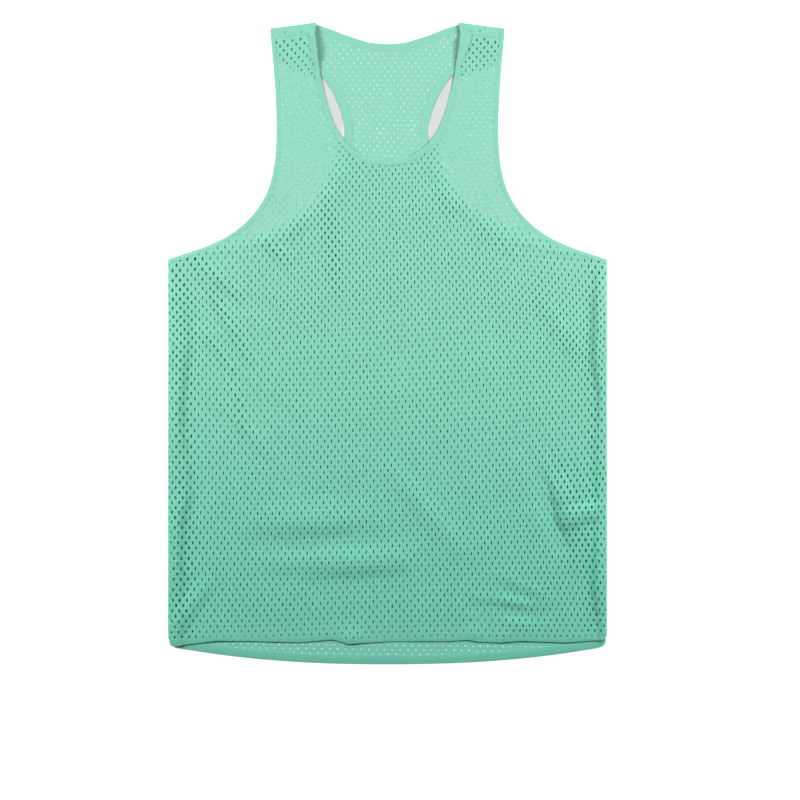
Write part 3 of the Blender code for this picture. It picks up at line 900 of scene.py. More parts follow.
def inside_loop(points: Array, loop: Array) -> Array:
    """Which points lie inside a closed loop, by counting the loop's crossings to their right.

    Args:
        points: Flat points, shape (n, 2).
        loop: The loop's corners in order, shape (m, 2).

    Returns:
        Whether each point is inside, shape (n,).
    """
    start, end = loop, np.roll(loop, -1, axis=0)
    px, py = points[:, 0, None], points[:, 1, None]
    spans = (start[:, 1] > py) != (end[:, 1] > py)
    rise = np.where(end[:, 1] == start[:, 1], 1e-9, end[:, 1] - start[:, 1])
    crossing = start[:, 0] + (py - start[:, 1]) / rise * (end[:, 0] - start[:, 0])
    return np.sum(spans & (px < crossing), axis=1) % 2 == 1


def distance_to_line(points: Array, line: Array, closed: bool) -> Array:
    """Each point's distance to the nearest stretch of a line.

    Args:
        points: Flat points, shape (n, 2).
        line: The line's points in order, shape (m, 2).
        closed: Whether its end joins its start.

    Returns:
        The distances, shape (n,).
    """
    start = line if closed else line[:-1]
    end = np.roll(line, -1, axis=0) if closed else line[1:]
    run = end - start
    away = points[:, None, :] - start[None, :, :]
    share = np.clip(np.sum(away * run, axis=2) / np.sum(run * run, axis=1), 0.0, 1.0)
    return np.min(np.linalg.norm(away - share[..., None] * run, axis=2), axis=1)


@dataclass
class Panel:
    """A panel of mesh knit: a flat outline with holes, laid on a surface and given the knit's thickness."""

    name: str
    outline: Array
    creases: list[Array]
    knit: KnitHoles
    surface: Surface
    thickness: float
    keep: ByPlace
    widen: ByPlace
    rests_on: tuple[str, ...]
    edge_clear: float = 1.6  # from a hole's centre to the outline
    crease_clear: float = 1.5
    upright: float = 0.5  # what a millimetre down the cloth counts in those distances
    crisp: float = 50.0  # degrees past which an edge stays sharp

    def cut_holes(self) -> Array:
        """The holes that fall inside the outline, clear of it and of the creases.

        Returns:
            The holes' corners, shape (holes, corners, 2).
        """
        centres = self.knit.lattice()
        centres = centres[inside_loop(centres, self.outline)]
        centres = centres[self.keep(centres)]
        squeeze = np.array((1.0, self.upright))
        clear = distance_to_line(centres * squeeze, self.outline * squeeze, True) > self.edge_clear
        for crease in self.creases:
            clear &= distance_to_line(centres * squeeze, crease * squeeze, False) > self.crease_clear
        centres = centres[clear]
        return self.knit.cut(centres, self.widen(centres))

    def triangles(self) -> tuple[Array, Array]:
        """The flat cloth between its holes as triangles.

        Returns:
            The flat points, and the corners of each triangle.
        """
        holes = self.cut_holes()
        count, corners = holes.shape[:2]
        loops = [self.outline, *self.creases]
        starts = np.cumsum([0] + [len(loop) for loop in loops])
        points = np.concatenate([*loops, holes.reshape(-1, 2)])
        edges = []
        for start, loop, closed in zip(starts, loops, [True] + [False] * len(self.creases)):
            index = np.arange(len(loop)) + start
            ends = np.roll(index, -1)
            edges.append(np.stack([index, ends], axis=1)[: len(loop) if closed else -1])
        index = np.arange(count * corners).reshape(count, corners) + starts[-1]
        edges.append(np.stack([index, np.roll(index, -1, axis=1)], axis=-1).reshape(-1, 2))
        owner = np.full(len(points), -1)
        owner[starts[-1] :] = np.repeat(np.arange(count), corners)
        made, _, faces, sources, _, _ = delaunay_2d_cdt(
            [Vector(p) for p in points.tolist()], np.concatenate(edges).tolist(), [], ENCLOSED, TOUCHING
        )
        flat = np.array([tuple(v) for v in made])
        belongs = np.array([owner[s[0]] if s else -1 for s in sources])
        triangles = np.array([face for face in faces if len(face) == 3])
        of = belongs[triangles]
        in_hole = (of[:, 0] >= 0) & (of[:, 0] == of[:, 1]) & (of[:, 1] == of[:, 2])
        LOG.info("%s: %d holes, %d flat points", self.name, count, len(flat))
        return flat, triangles[~in_hole]

    def flat_size(self) -> tuple[tuple[float, float], float]:
        """Width and length of the flat outline in metres, and its area by the shoelace formula.

        Returns:
            Width and length, and the area.
        """
        width, length = np.ptp(self.outline, axis=0) * MM
        x, drop = self.outline.T
        area = abs(np.sum(x * np.roll(drop, -1) - drop * np.roll(x, -1))) / 2 * MM**2
        return (float(width), float(length)), float(area)

    def build(self) -> bpy.types.Object:
        """The panel as a closed shell: its surface moved out by half the thickness on either side.

        Every edge that only one triangle has, round the outline and round each hole, gets a wall.

        Returns:
            The piece.
        """
        flat, faces = self.triangles()
        area = np.cross(flat[faces[:, 1]] - flat[faces[:, 0]], flat[faces[:, 2]] - flat[faces[:, 0]])
        faces = np.where((area > 0)[:, None], faces[:, ::-1], faces)
        middle = to_world(self.surface(flat))
        offset = surface_normals(self.surface, flat) * self.thickness / 2 * MM
        count = len(flat)
        ends = np.concatenate([faces[:, [0, 1]], faces[:, [1, 2]], faces[:, [2, 0]]])
        forward = ends[:, 0] * count + ends[:, 1]
        backward = ends[:, 1] * count + ends[:, 0]
        rim = ends[~np.isin(forward, backward)]
        walls = np.stack([rim[:, 1], rim[:, 0], rim[:, 0] + count, rim[:, 1] + count], axis=1)
        every = faces.tolist() + (faces[:, ::-1] + count).tolist() + walls.tolist()
        points = np.concatenate([middle + offset, middle - offset])
        piece = new_object(self.name, points, every, np.concatenate([flat, flat]))
        shade(piece, self.crisp)
        size, area = self.flat_size()
        LOG.info("%s: cut %.0f x %.0f mm, %.4f m2", self.name, size[0] / MM, size[1] / MM, area)
        return piece


def mirrored(half: Array) -> Array:
    """A closed loop from its right half, which runs from the centre line round to the centre line."""
    left = half[::-1] * (-1.0, 1.0)
    return np.concatenate([half, left[1:-1]])


@dataclass
class Front:
    """The front panel, from its turned hem up to the shoulder seam."""

    lie: Lie
    tuck: float = 1.4  # how far the panel's edge lies inside its binding
    under_flap: float = 5.0  # how far the panel goes up under the back's shoulder flap
    hem_turn: float = 6.0  # cloth past the hem, turned under
    spacing: float = 4.0  # of the outline's stations
    seam_points: int = 14
    armhole_end: float = 1.0  # from the armhole's last station to the side fold
    side_gap: float = 3.0  # from the armhole's last station to the side's first
    side_end: float = 686.0  # drop at which the side's stations end
    hem_level: float = 690.0  # drop at which the side's turn is read for the hem
    hem_points: int = 130
    crease_points: int = 160
    turn_lines: int = 5
    hem_plain: float = 5.0  # height of the band along the hem that has no holes
    seam_slope: float = 0.137  # of the shoulder seam, outward
    seam_clear: float = 2.2  # from the seam to the nearest holes' centres
    widest: float = 1.9  # the most that a hole is widened
    left: Pull = Pull(206.0, 24.0, 0.8)
    right: Pull = Pull(214.0, 20.0, 0.6)
    strap_pull: float = 0.35  # how much wider the holes are beside the back
    strap_ease: float = 8.0
    stitch_inset: float = 4.4  # from the hem's fold up to its stitches

    def outline(self) -> Array:
        """The flat outline: neck edge, under the shoulder flap, armhole edge, side and turned hem.

        Returns:
            The closed outline, columns x and drop.
        """
        neck = edge_curve(FRONT_NECK, self.spacing)
        neck = neck[:, :2] + inward(neck, -1.0) * self.tuck
        neck[0] = (0.0, neck[0, 1])
        armhole = edge_curve(FRONT_ARMHOLE, self.spacing)
        armhole = armhole[:, :2] + inward(armhole, -1.0) * self.tuck
        top = np.stack([neck[-1] - (0.0, self.under_flap), armhole[0] - (0.0, self.under_flap)])
        across = top[0] + np.linspace(0.0, 1.0, self.seam_points)[:, None] * (top[1] - top[0])
        armhole = armhole[armhole[:, 0] < HALF - self.armhole_end]
        loops = []
        for side in Side:
            drops = np.arange(armhole[-1, 1] + self.side_gap, self.side_end, self.spacing)
            turn_x = np.full_like(drops, side.value * (HALF - self.lie.side_bend))
            out = HALF - self.lie.side_bend + self.lie.side_arc(turn_x, drops)
            sides = np.stack([out, drops], axis=1)
            hem_x = np.linspace(out[-1], 0.0, self.hem_points)
            level = np.full_like(hem_x, self.hem_level)
            placed = self.lie.front_sheet(np.stack([side.value * hem_x, level], axis=1))
            hem = np.stack([hem_x, self.lie.front_hem(placed[:, 0]) + self.hem_turn], axis=1)
            half = np.concatenate([neck, across[:-1], armhole, sides, hem])
            loops.append(half * (side.value, 1.0))
        return np.concatenate([loops[1][:-1], loops[0][::-1][:-1]])

    def creases(self) -> list[Array]:
        """Lines along the hem's fold, close enough together to round it.

        Returns:
            The lines, each with columns x and drop.
        """
        reach = HALF - self.lie.side_bend
        x = np.linspace(-reach, reach, self.crease_points)
        hem = self.lie.front_hem(x) - self.lie.hem_radius - self.lie.thickness / 2
        turns = np.linspace(0.0, np.pi, self.turn_lines) * self.lie.hem_radius
        return [np.stack([x, hem + turn], axis=1) for turn in turns]

    def keep(self, centres: Array) -> Array:
        """Which holes are cut: none in the turned part of the hem or under the shoulder flap.

        Args:
            centres: The holes' centres, shape (n, 2).

        Returns:
            Whether each is cut.
        """
        on_hem = centres[:, 1] > self.lie.front_hem(centres[:, 0]) - self.hem_plain
        neck_end = FRONT_NECK[-1]
        seam = neck_end.drop + (np.abs(centres[:, 0]) - neck_end.half) * self.seam_slope
        return ~on_hem & (centres[:, 1] > seam + self.seam_clear)

    def widen(self, centres: Array) -> Array:
        """How much wider each hole is: at the sides, on the straps and on ridges, where cloth is pulled.

        Args:
            centres: The holes' centres, shape (n, 2).

        Returns:
            The factor for each hole's width.
        """
        x, drop = centres.T
        left, right = self.left, self.right
        wide = 1.0 + left.share * smooth_step((-left.start - x) / left.ease)
        wide = wide + right.share * smooth_step((x - right.start) / right.ease)
        wide = wide + self.strap_pull * smooth_step(self.lie.past_back(x, drop) / self.strap_ease)
        for fold in FINE_FOLDS:
            wide = wide + fold.pull * profile(fold, x, drop)
        return np.minimum(wide, self.widest)

    def build(self) -> bpy.types.Object:
        """The front panel."""
        panel = Panel(
            name="front_panel",
            outline=self.outline(),
            creases=self.creases(),
            knit=KnitHoles(FRONT_COURSES, FRONT_HOLES, first_row=-88, last_row=46, seed=7),
            surface=self.lie.front,
            thickness=self.lie.thickness,
            keep=self.keep,
            widen=self.widen,
            rests_on=("back_panel", "table_top"),
        )
        return panel.build()

    def stitches(self) -> list[Seam]:
        """The lines of stitches along the hem."""
        return hem_seams(self.lie, self.lie.front, self.lie.front_hem, self.stitch_inset)


@dataclass
class Back:
    """The back panel, from its turned hem up over the shoulder folds to the seam on the front."""

    lie: Lie
    tuck: float = 1.4  # how far the panel's edge lies inside its binding
    hem_turn: float = 9.5  # cloth past the hem, turned up
    side_gap: float = 1.2  # between the back's side edge and the side fold
    spacing: float = 4.0  # of the outline's stations
    seam_points: int = 14
    bend_lines: int = 7
    flap_stations: tuple[float, float] = (3.0, 6.0)  # below the shoulder's bend
    neck_taper: float = 1.2  # how far the flap's neck end draws in down to the seam
    tip_taper: float = 0.8
    armhole_end: float = 6.0  # from the armhole's last station to the side fold
    side_end: float = 690.0  # drop at which the side's stations end
    hem_points: int = 130
    crease_points: int = 160
    crease_inset: float = 1.0  # from the side edge
    turn_lines: int = 5
    fold_points: int = 16
    fold_inset: float = 1.2  # from the bound edges to the ends of the shoulder's creases
    hem_plain: float = 9.0  # height of the band along the hem that has no holes
    fold_clear: float = 1.0  # below the shoulder fold
    flap_clear: float = 1.2  # past it, on the flap
    seam_clear: float = 2.2  # from the seam to the nearest holes' centres
    stitch_inset: float = 8.0  # from the hem's fold up to its stitches

    def outline(self) -> Array:
        """The flat outline: neck edge, shoulder flap, armhole edge, side and turned hem.

        Returns:
            The closed outline, columns x and drop.
        """
        lie = self.lie
        neck = edge_curve(BACK_NECK, self.spacing)
        neck = (neck[:, :2] + inward(neck, 1.0) * self.tuck)[::-1]
        neck[0] = (0.0, neck[0, 1])
        armhole = edge_curve(BACK_ARMHOLE, self.spacing)
        armhole = armhole[:, :2] + inward(armhole, -1.0) * self.tuck
        length = lie.seam_drop - lie.fold_in
        bend = np.linspace(0.0, np.pi, self.bend_lines) * lie.bend
        rises = np.concatenate([bend, np.pi * lie.bend + np.array((*self.flap_stations, length))])
        shift = np.interp(rises, (np.pi * lie.bend, rises[-1]), (0.0, 1.0))[:, None] * lie.along_fold
        neck_end = lie.fold_centre + lie.along_fold * self.tuck
        tip_end = np.array(lie.tip_fold) + (0.0, lie.fold_in) - lie.along_fold * self.tuck
        up = neck_end + rises[:, None] * lie.over_fold + self.neck_taper * shift
        down = (tip_end + rises[:, None] * lie.over_fold - self.tip_taper * shift)[::-1]
        across = up[-1] + np.linspace(0.0, 1.0, self.seam_points)[1:-1, None] * (down[0] - up[-1])
        armhole = armhole[armhole[:, 0] < HALF - self.armhole_end]
        side_x = HALF - self.side_gap
        drops = np.arange(armhole[-1, 1] + self.spacing, self.side_end, self.spacing)
        sides = np.stack([np.full_like(drops, side_x), drops], axis=1)
        hem_x = np.linspace(side_x, 0.0, self.hem_points)
        hem = np.stack([hem_x, lie.tail_hem(hem_x) + self.hem_turn], axis=1)
        half = np.concatenate([neck[:-1], up, across, down, armhole[1:], sides, hem])
        loop = mirrored(half)
        lean = read(BACK_LEAN, loop[:, 1]) * (1.0 - (loop[:, 0] / HALF) ** 2)
        return np.stack([loop[:, 0] + lean, loop[:, 1]], axis=1)

    def creases(self) -> list[Array]:
        """Lines along the hem's fold and along the shoulder folds.

        Returns:
            The lines, each with columns x and drop.
        """
        lie = self.lie
        reach = HALF - self.side_gap - self.crease_inset
        x = np.linspace(-reach, reach, self.crease_points)
        hem = lie.tail_hem(x) - lie.hem_radius - lie.thickness / 2
        turns = np.linspace(0.0, np.pi, self.turn_lines)
        lines = [np.stack([x, hem + turn * lie.hem_radius], axis=1) for turn in turns]
        width = np.linalg.norm(np.subtract(lie.tip_fold, lie.neck_fold))
        runs = np.linspace(self.tuck + self.fold_inset, width - self.tuck - self.fold_inset, self.fold_points)
        for side in Side:
            for rise in np.linspace(0.0, np.pi, self.bend_lines) * lie.bend:
                line = lie.fold_centre + runs[:, None] * lie.along_fold + rise * lie.over_fold
                lines.append(line * (side.value, 1.0))
        return lines

    def keep(self, centres: Array) -> Array:
        """Which holes are cut: none in the turned hem, on the shoulder folds or along their seams.

        Args:
            centres: The holes' centres, shape (n, 2).

        Returns:
            Whether each is cut.
        """
        lie = self.lie
        on_hem = centres[:, 1] > lie.tail_hem(centres[:, 0]) - self.hem_plain
        over = (np.abs(centres[:, 0]) - lie.fold_centre[0]) * lie.over_fold[0]
        over = over + (centres[:, 1] - lie.fold_centre[1]) * lie.over_fold[1]
        past_fold = over - math.pi * lie.bend
        flap_end = lie.seam_drop - lie.fold_in - self.seam_clear
        on_flap = (past_fold > self.flap_clear) & (past_fold < flap_end)
        return ~on_hem & ((over < -self.fold_clear) | on_flap)

    def widen(self, centres: Array) -> Array:
        """The back's holes keep their widths."""
        return np.ones(len(centres))

    def build(self) -> bpy.types.Object:
        """The back panel."""
        panel = Panel(
            name="back_panel",
            outline=self.outline(),
            creases=self.creases(),
            knit=KnitHoles(BACK_COURSES, BACK_HOLES, first_row=-90, last_row=54, seed=21),
            surface=self.lie.back,
            thickness=self.lie.thickness,
            keep=self.keep,
            widen=self.widen,
            rests_on=("table_top",),
        )
        return panel.build()

    def stitches(self) -> list[Seam]:
        """The lines of stitches along the hem."""
        return hem_seams(self.lie, self.lie.back, self.lie.tail_hem, self.stitch_inset)


@dataclass
class Strip:
    """Stations of a bound edge.

    They are the edge, a point a binding's width inside it, the layer, and how far the inner side stands
    proud of the layer, in millimetres.
    """

    edge: Array
    inner: Array
    layer: Array
    proud: Array

    def turned(self, side: Side) -> Strip:
        """The same stations on one side of the garment."""
        return Strip(self.edge * (side.value, 1.0), self.inner * (side.value, 1.0), self.layer, self.proud)

    def part(self, which: slice) -> Strip:
        """Some of the stations, or all in the opposite order."""
        return Strip(self.edge[which], self.inner[which], self.layer[which], self.proud[which])


def joined(strips: Sequence[Strip]) -> Strip:
    """Strips one after another as one."""
    return Strip(
        np.concatenate([s.edge for s in strips]),
        np.concatenate([s.inner for s in strips]),
        np.concatenate([s.layer for s in strips]),
        np.concatenate([s.proud for s in strips]),
    )


BACKWARD = slice(None, None, -1)


@dataclass(frozen=True)
class LeafPoint:
    """A point of a folded strip's section: its share of the strip's width, and of its half thickness."""

    share: float
    height: float


OUTSIDE_LEAF = (
    LeafPoint(1.0, 0.86),
    LeafPoint(0.8, 1.0),
    LeafPoint(0.5, 1.0),
    LeafPoint(0.2, 0.97),
    LeafPoint(0.05, 0.7),
    LeafPoint(0.0, 0.0),
)
INSIDE_LEAF = (
    LeafPoint(1.0, 1.0),
    LeafPoint(0.8, 1.0),
    LeafPoint(0.5, 1.0),
    LeafPoint(0.2, 1.0),
    LeafPoint(0.12, 0.6),
    LeafPoint(0.09, 0.0),
)


@dataclass
class Bindings:
    """The folded strips round the neck and the armholes, and the rows of stitches that hold them."""

    lie: Lie
    leaf: float = 0.18  # thickness of the binding's knit
    spacing: float = 3.5
    bend_steps: int = 9
    pucker: float = 0.06  # waviness of the strip's thickness, where its stitches pull it in
    flap_width: float = 13.0  # of the right strap's neck binding where it is rolled outward
    flap_end: float = 52.0  # drop at which that roll ends
    flap_fade: float = 40.0
    flap_proud: float = 1.3  # how far its inner side stands off the strap
    flap_start: float = 26.0  # drop at which it stands off fully
    fold_width: float = 6.5  # of a strip over a shoulder fold
    armhole_share: float = 0.76  # of the solids' width that the front's armhole strips show
    puckers: tuple[float, float] = (9.0, 5.7)  # lengths of the pucker's two waves
    crisp: float = 60.0  # degrees past which an edge stays sharp
    map_width: float = 7.0  # that a strip has in its UV map
    stitch_inset: float = 1.2  # from the strip's inner edge
    beside: float = 0.1  # share of the strip's width at which the stitches' side direction is taken

    def along(self, rows: Sequence[Edge], turn: float, layer: float) -> Strip:
        """A garment edge, right half, as a strip on one layer.

        Args:
            rows: The table of the edge.
            turn: The side on which the cloth lies, +1 or -1.
            layer: 0 for the back, 1 for the front.

        Returns:
            The stations.
        """
        stations = edge_curve(rows, self.spacing)
        edge = stations[:, :2]
        into = inward(stations, turn)
        inner = edge + into * stations[:, 2:3]
        return Strip(edge, inner, np.full(len(edge), layer), np.zeros(len(edge)))

    def bend(self, start: tuple[float, float], into: Array) -> Strip:
        """The strip over a shoulder fold, from the back up and round to the front.

        Args:
            start: The fold's end that the strip binds (half, drop).
            into: Unit vector into the cloth.

        Returns:
            The stations.
        """
        turns = np.linspace(0.0, np.pi, self.bend_steps)
        down = self.lie.fold_in - self.lie.bend * np.sin(turns)
        edge = np.array(start) + np.stack([np.zeros_like(down), down], axis=1)
        inner = edge + self.fold_width * into
        return Strip(edge, inner, (1.0 - np.cos(turns)) / 2, np.zeros(len(edge)))

    def neck_half(self, side: Side) -> Strip:
        """Half the neck binding, from the front's middle over the shoulder fold to the back's middle.

        Args:
            side: Which half.

        Returns:
            The stations.
        """
        front = self.along(FRONT_NECK, -1.0, 1.0)
        if side is Side.RIGHT:
            share = smooth_step((self.flap_end - front.edge[:, 1]) / self.flap_fade)
            widths = np.linalg.norm(front.inner - front.edge, axis=1)
            wide = widths + share * (self.flap_width - widths)
            front.inner = front.edge + (front.inner - front.edge) * (wide / widths)[:, None]
            front.proud = self.flap_proud * share * smooth_step(front.edge[:, 1] / self.flap_start)
        bend = self.bend(self.lie.neck_fold, self.lie.along_fold).part(BACKWARD)
        back = self.along(BACK_NECK, 1.0, 0.0)
        half = joined([front, bend, back.part(slice(1, None))])
        half.inner[0, 0] = half.edge[0, 0] = 0.0
        half.inner[-1, 0] = half.edge[-1, 0] = 0.0
        return half.turned(side)

    def neck(self) -> Strip:
        """The whole neck binding, a closed loop.

        Returns:
            The stations.
        """
        right = self.neck_half(Side.RIGHT)
        left = self.neck_half(Side.LEFT).part(BACKWARD)
        return joined([right, left.part(slice(1, -1))])

    def armhole(self, side: Side) -> Strip:
        """An armhole binding: from the underarm up the front, over the fold and down the back.

        Args:
            side: Which armhole.

        Returns:
            The stations.
        """
        front = self.along(FRONT_ARMHOLE, -1.0, 1.0).part(BACKWARD)
        front.inner = front.edge + self.armhole_share * (front.inner - front.edge)
        bend = self.bend(self.lie.tip_fold, -self.lie.along_fold).part(BACKWARD)
        back = self.along(BACK_ARMHOLE, -1.0, 0.0)
        return joined([front, bend, back.part(slice(1, None))]).turned(side)

    def section(self) -> tuple[Array, Array]:
        """The folded strip cut across, as distances into the cloth (share of its width) and heights.

        The first half of the points runs round the outside, the second half back along the inside.

        Returns:
            The distances and the heights.
        """
        half = self.lie.binding_half
        loops = []
        for leaf, height in ((OUTSIDE_LEAF, half), (INSIDE_LEAF, half - self.leaf)):
            upper = [(point.share, point.height) for point in leaf]
            lower = [(share, -rise) for share, rise in upper[-2::-1]]
            loops.append(np.array(upper + lower) * (1.0, height))
        ring = np.concatenate([loops[0], loops[1][::-1]])
        return ring[:, 0], ring[:, 1]

    def middle(self, strip: Strip, shares: Array) -> Array:
        """World points of the strip's middle surface at shares of its width.

        Args:
            strip: The strip.
            shares: Shares of its width.

        Returns:
            The points, shape (stations, shares, 3).
        """
        flat = strip.edge[:, None, :] + shares[None, :, None] * (strip.inner - strip.edge)[:, None, :]
        layer = strip.layer[:, None] * np.ones(flat.shape[:2])
        placed = self.lie.layer(flat, layer)
        placed[..., 2] += strip.proud[:, None] * smooth_step(shares)[None, :]
        return to_world(placed)

    def frames(self, strip: Strip, closed: bool) -> tuple[Array, Array]:
        """Runs along the strip in millimetres, and the unit normals of its middle surface.

        Args:
            strip: The strip.
            closed: Whether it is a loop.

        Returns:
            The runs and the normals, one for each station.
        """
        line = self.middle(strip, np.array((0.0, 0.5, 1.0)))
        ahead = np.roll(line[:, 1], -1, axis=0) - np.roll(line[:, 1], 1, axis=0)
        if not closed:
            ahead[0] = line[1, 1] - line[0, 1]
            ahead[-1] = line[-1, 1] - line[-2, 1]
        normal = np.cross(ahead, line[:, 2] - line[:, 0])
        normal = normal / np.linalg.norm(normal, axis=1, keepdims=True)
        steps = np.linalg.norm(np.diff(line[:, 0], axis=0), axis=1) / MM
        return np.concatenate([[0.0], np.cumsum(steps)]), normal

    def build_strip(self, name: str, strip: Strip, closed: bool) -> bpy.types.Object:
        """A binding: the section carried along its stations.

        Args:
            name: Name of the piece.
            strip: Its stations.
            closed: Whether it is a loop.

        Returns:
            The piece.
        """
        shares, heights = self.section()
        runs, normal = self.frames(strip, closed)
        wave = 1.0
        for length in self.puckers:
            wave = wave + self.pucker * np.sin(2 * np.pi * runs / length)
        lift = heights[None, :] * wave[:, None] * MM
        points = self.middle(strip, shares) + normal[:, None, :] * lift[..., None]
        rows, ring = points.shape[:2]
        corner = np.arange(rows * ring).reshape(rows, ring)
        ahead = np.roll(corner, -1, axis=0) if closed else corner[1:]
        here = corner if closed else corner[:-1]
        faces = np.stack([here, np.roll(here, -1, axis=1), np.roll(ahead, -1, axis=1), ahead], axis=-1)
        every = faces.reshape(-1, 4).tolist()
        if not closed:
            half = ring // 2
            for row, turn in ((corner[0], 1), (corner[-1], -1)):
                for k in range(half - 1):
                    quad = [row[k], row[ring - 1 - k], row[ring - 2 - k], row[k + 1]]
                    every.append([int(q) for q in quad[::turn]])
        around = np.cumsum(np.abs(np.diff(shares, prepend=shares[0])) * self.map_width)
        flat = np.stack([np.repeat(runs, ring), np.tile(around, rows)], axis=1)
        piece = new_object(name, points.reshape(-1, 3), every, flat)
        outward_first(piece)
        shade(piece, self.crisp)
        return piece

    def seam(self, strip: Strip, closed: bool, face: float) -> Seam:
        """The line of stitches along a strip's inner edge, on one face of it (+1 or -1).

        Args:
            strip: The strip.
            closed: Whether it is a loop.
            face: Which face, +1 or -1.

        Returns:
            The line.
        """
        widths = np.linalg.norm(strip.inner - strip.edge, axis=1)
        share = 1.0 - self.stitch_inset / widths
        flat = strip.edge + share[:, None] * (strip.inner - strip.edge)
        beside = strip.edge + (share + self.beside)[:, None] * (strip.inner - strip.edge)
        line, side = self.lie.layer(flat, strip.layer), self.lie.layer(beside, strip.layer)
        line[:, 2] += strip.proud * smooth_step(share)
        side[:, 2] += strip.proud * smooth_step(share + self.beside)
        _, normal = self.frames(strip, closed)
        height = self.lie.binding_half - STITCH_SINK
        return Seam(to_world(line), to_world(side) - to_world(line), normal * face, height)

    def build(self) -> tuple[list[bpy.types.Object], list[Seam]]:
        """The three bindings, and the lines of their stitches.

        Returns:
            The pieces and the lines.
        """
        strips = {
            "neck": (self.neck(), True),
            "left_armhole": (self.armhole(Side.LEFT), False),
            "right_armhole": (self.armhole(Side.RIGHT), False),
        }
        pieces, seams = [], []
        for name, (strip, closed) in strips.items():
            pieces.append(self.build_strip(f"{name}_strip", strip, closed))
            seams += [self.seam(strip, closed, face) for face in (1.0, -1.0)]
        return pieces, seams


STITCH_SINK = 0.04  # millimetres that a stitch line lies below the cloth's face


@dataclass
class Seam:
    """A line that stitches follow: world points, directions to one side, normals, and their height."""

    line: Array
    side: Array
    normal: Array
    height: float  # millimetres from the line up to the cloth's face


# Corners of a stitch's faces: point 0 is its start, 1 to 4 lie round its middle, and 5 is its end.
BEAD = ((0, 2, 1), (0, 3, 2), (0, 4, 3), (0, 1, 4), (5, 1, 2), (5, 2, 3), (5, 3, 4), (5, 4, 1))


@dataclass
class Stitching:
    """Rows of lock stitches: slim beads with their ends sunk in the cloth."""

    pitch: float = 3.2  # from one stitch to the next
    length: float = 2.0  # of thread that shows between two holes of the needle
    width: float = 0.55
    rise: float = 0.16  # half the bead's height
    crisp: float = 180.0  # degrees: the thread has no sharp edge

    def row(self, seam: Seam) -> tuple[Array, Array]:
        """The stitches of one line: each a bead of six points, its middle a little proud of the cloth.

        Args:
            seam: The line.

        Returns:
            The beads' points, and the corners of their faces.
        """
        side = seam.side / np.linalg.norm(seam.side, axis=1, keepdims=True)
        line = seam.line + seam.normal * seam.height * MM
        run = np.concatenate([[0.0], np.cumsum(np.linalg.norm(np.diff(line, axis=0), axis=1))])
        centres = np.arange(self.pitch, run[-1] / MM - self.pitch, self.pitch) * MM

        def at(values: Array, where: Array) -> Array:
            """Values at the stations read at runs along the line."""
            return np.stack([np.interp(where, run, values[:, k]) for k in range(3)], axis=1)

        half = self.length / 2 * MM
        over = at(side, centres) * self.width / 2 * MM
        rise = at(seam.normal, centres) * self.rise * MM
        middle = at(line, centres)
        ends = at(line, centres - half), at(line, centres + half)
        girdle = [middle + over, middle + rise, middle - over, middle - rise]
        points = np.stack([ends[0], *girdle, ends[1]], axis=1)
        faces = np.array(BEAD)[None] + points.shape[1] * np.arange(len(points))[:, None, None]
        return points.reshape(-1, 3), faces.reshape(-1, 3)

    def build(self, seams: Sequence[Seam]) -> bpy.types.Object:
        """One piece with the stitches of every line.

        Args:
            seams: The lines.

        Returns:
            The piece.
        """
        points, faces, count = [], [], 0
        for seam in seams:
            made, corners = self.row(seam)
            points.append(made)
            faces.append(corners + count)
            count += len(made)
        thread = new_object("seam_stitches", np.concatenate(points), np.concatenate(faces).tolist())
        outward_first(thread)
        shade(thread, self.crisp)
        return thread


HEM_STITCH_REACH = 232.0  # how far the hems' stitches go to either side
HEM_STITCH_POINTS = 240
SIDE_STEP = 0.5  # millimetres up the cloth, to find a stitch's side direction


def hem_seams(lie: Lie, surface: Surface, hem: ByPlace, inset: float) -> list[Seam]:
    """The two faces' lines of stitches along a hem.

    Args:
        lie: How the garment lies.
        surface: The panel's middle surface.
        hem: The hem's drop, by x.
        inset: Millimetres from the hem up to the stitches.

    Returns:
        The line on the upper face and the line on the lower one.
    """
    x = np.linspace(-HEM_STITCH_REACH, HEM_STITCH_REACH, HEM_STITCH_POINTS)
    flat = np.stack([x, hem(x)], axis=1) - (0.0, inset)
    line = to_world(surface(flat))
    side = to_world(surface(flat - (0.0, SIDE_STEP))) - line
    normal = surface_normals(surface, flat)
    height = lie.thickness / 2 - STITCH_SINK
    return [Seam(line, side, normal * face, height) for face in (1.0, -1.0)]


def outward_first(piece: bpy.types.Object) -> None:
    """Turns every face of a closed piece outward.

    Args:
        piece: The piece, with closed shells only.
    """
    mesh = bmesh.new()
    mesh.from_mesh(piece.data)
    bmesh.ops.recalc_face_normals(mesh, faces=mesh.faces)
    mesh.to_mesh(piece.data)
    mesh.free()
    piece.data.update()


def linear(colour: str) -> tuple[float, float, float, float]:
    """An sRGB hex colour as linear red, green, blue and alpha.

    Args:
        colour: The colour as # and six hex digits.

    Returns:
        The four values.
    """
    parts = np.array([int(colour[k : k + 2], 16) for k in (1, 3, 5)]) / 255.0
    values = np.where(parts <= 0.04045, parts / 12.92, ((parts + 0.055) / 1.055) ** 2.4)
    return (*values.tolist(), 1.0)


WHITE = (1.0, 1.0, 1.0, 1.0)
# A colour mix, and the places of its sockets, which share their names with those of its other kinds.
COLOUR_MIX = {"data_type": "RGBA"}
FIRST_COLOUR = 6
SECOND_COLOUR = 7
MIXED_COLOUR = 2


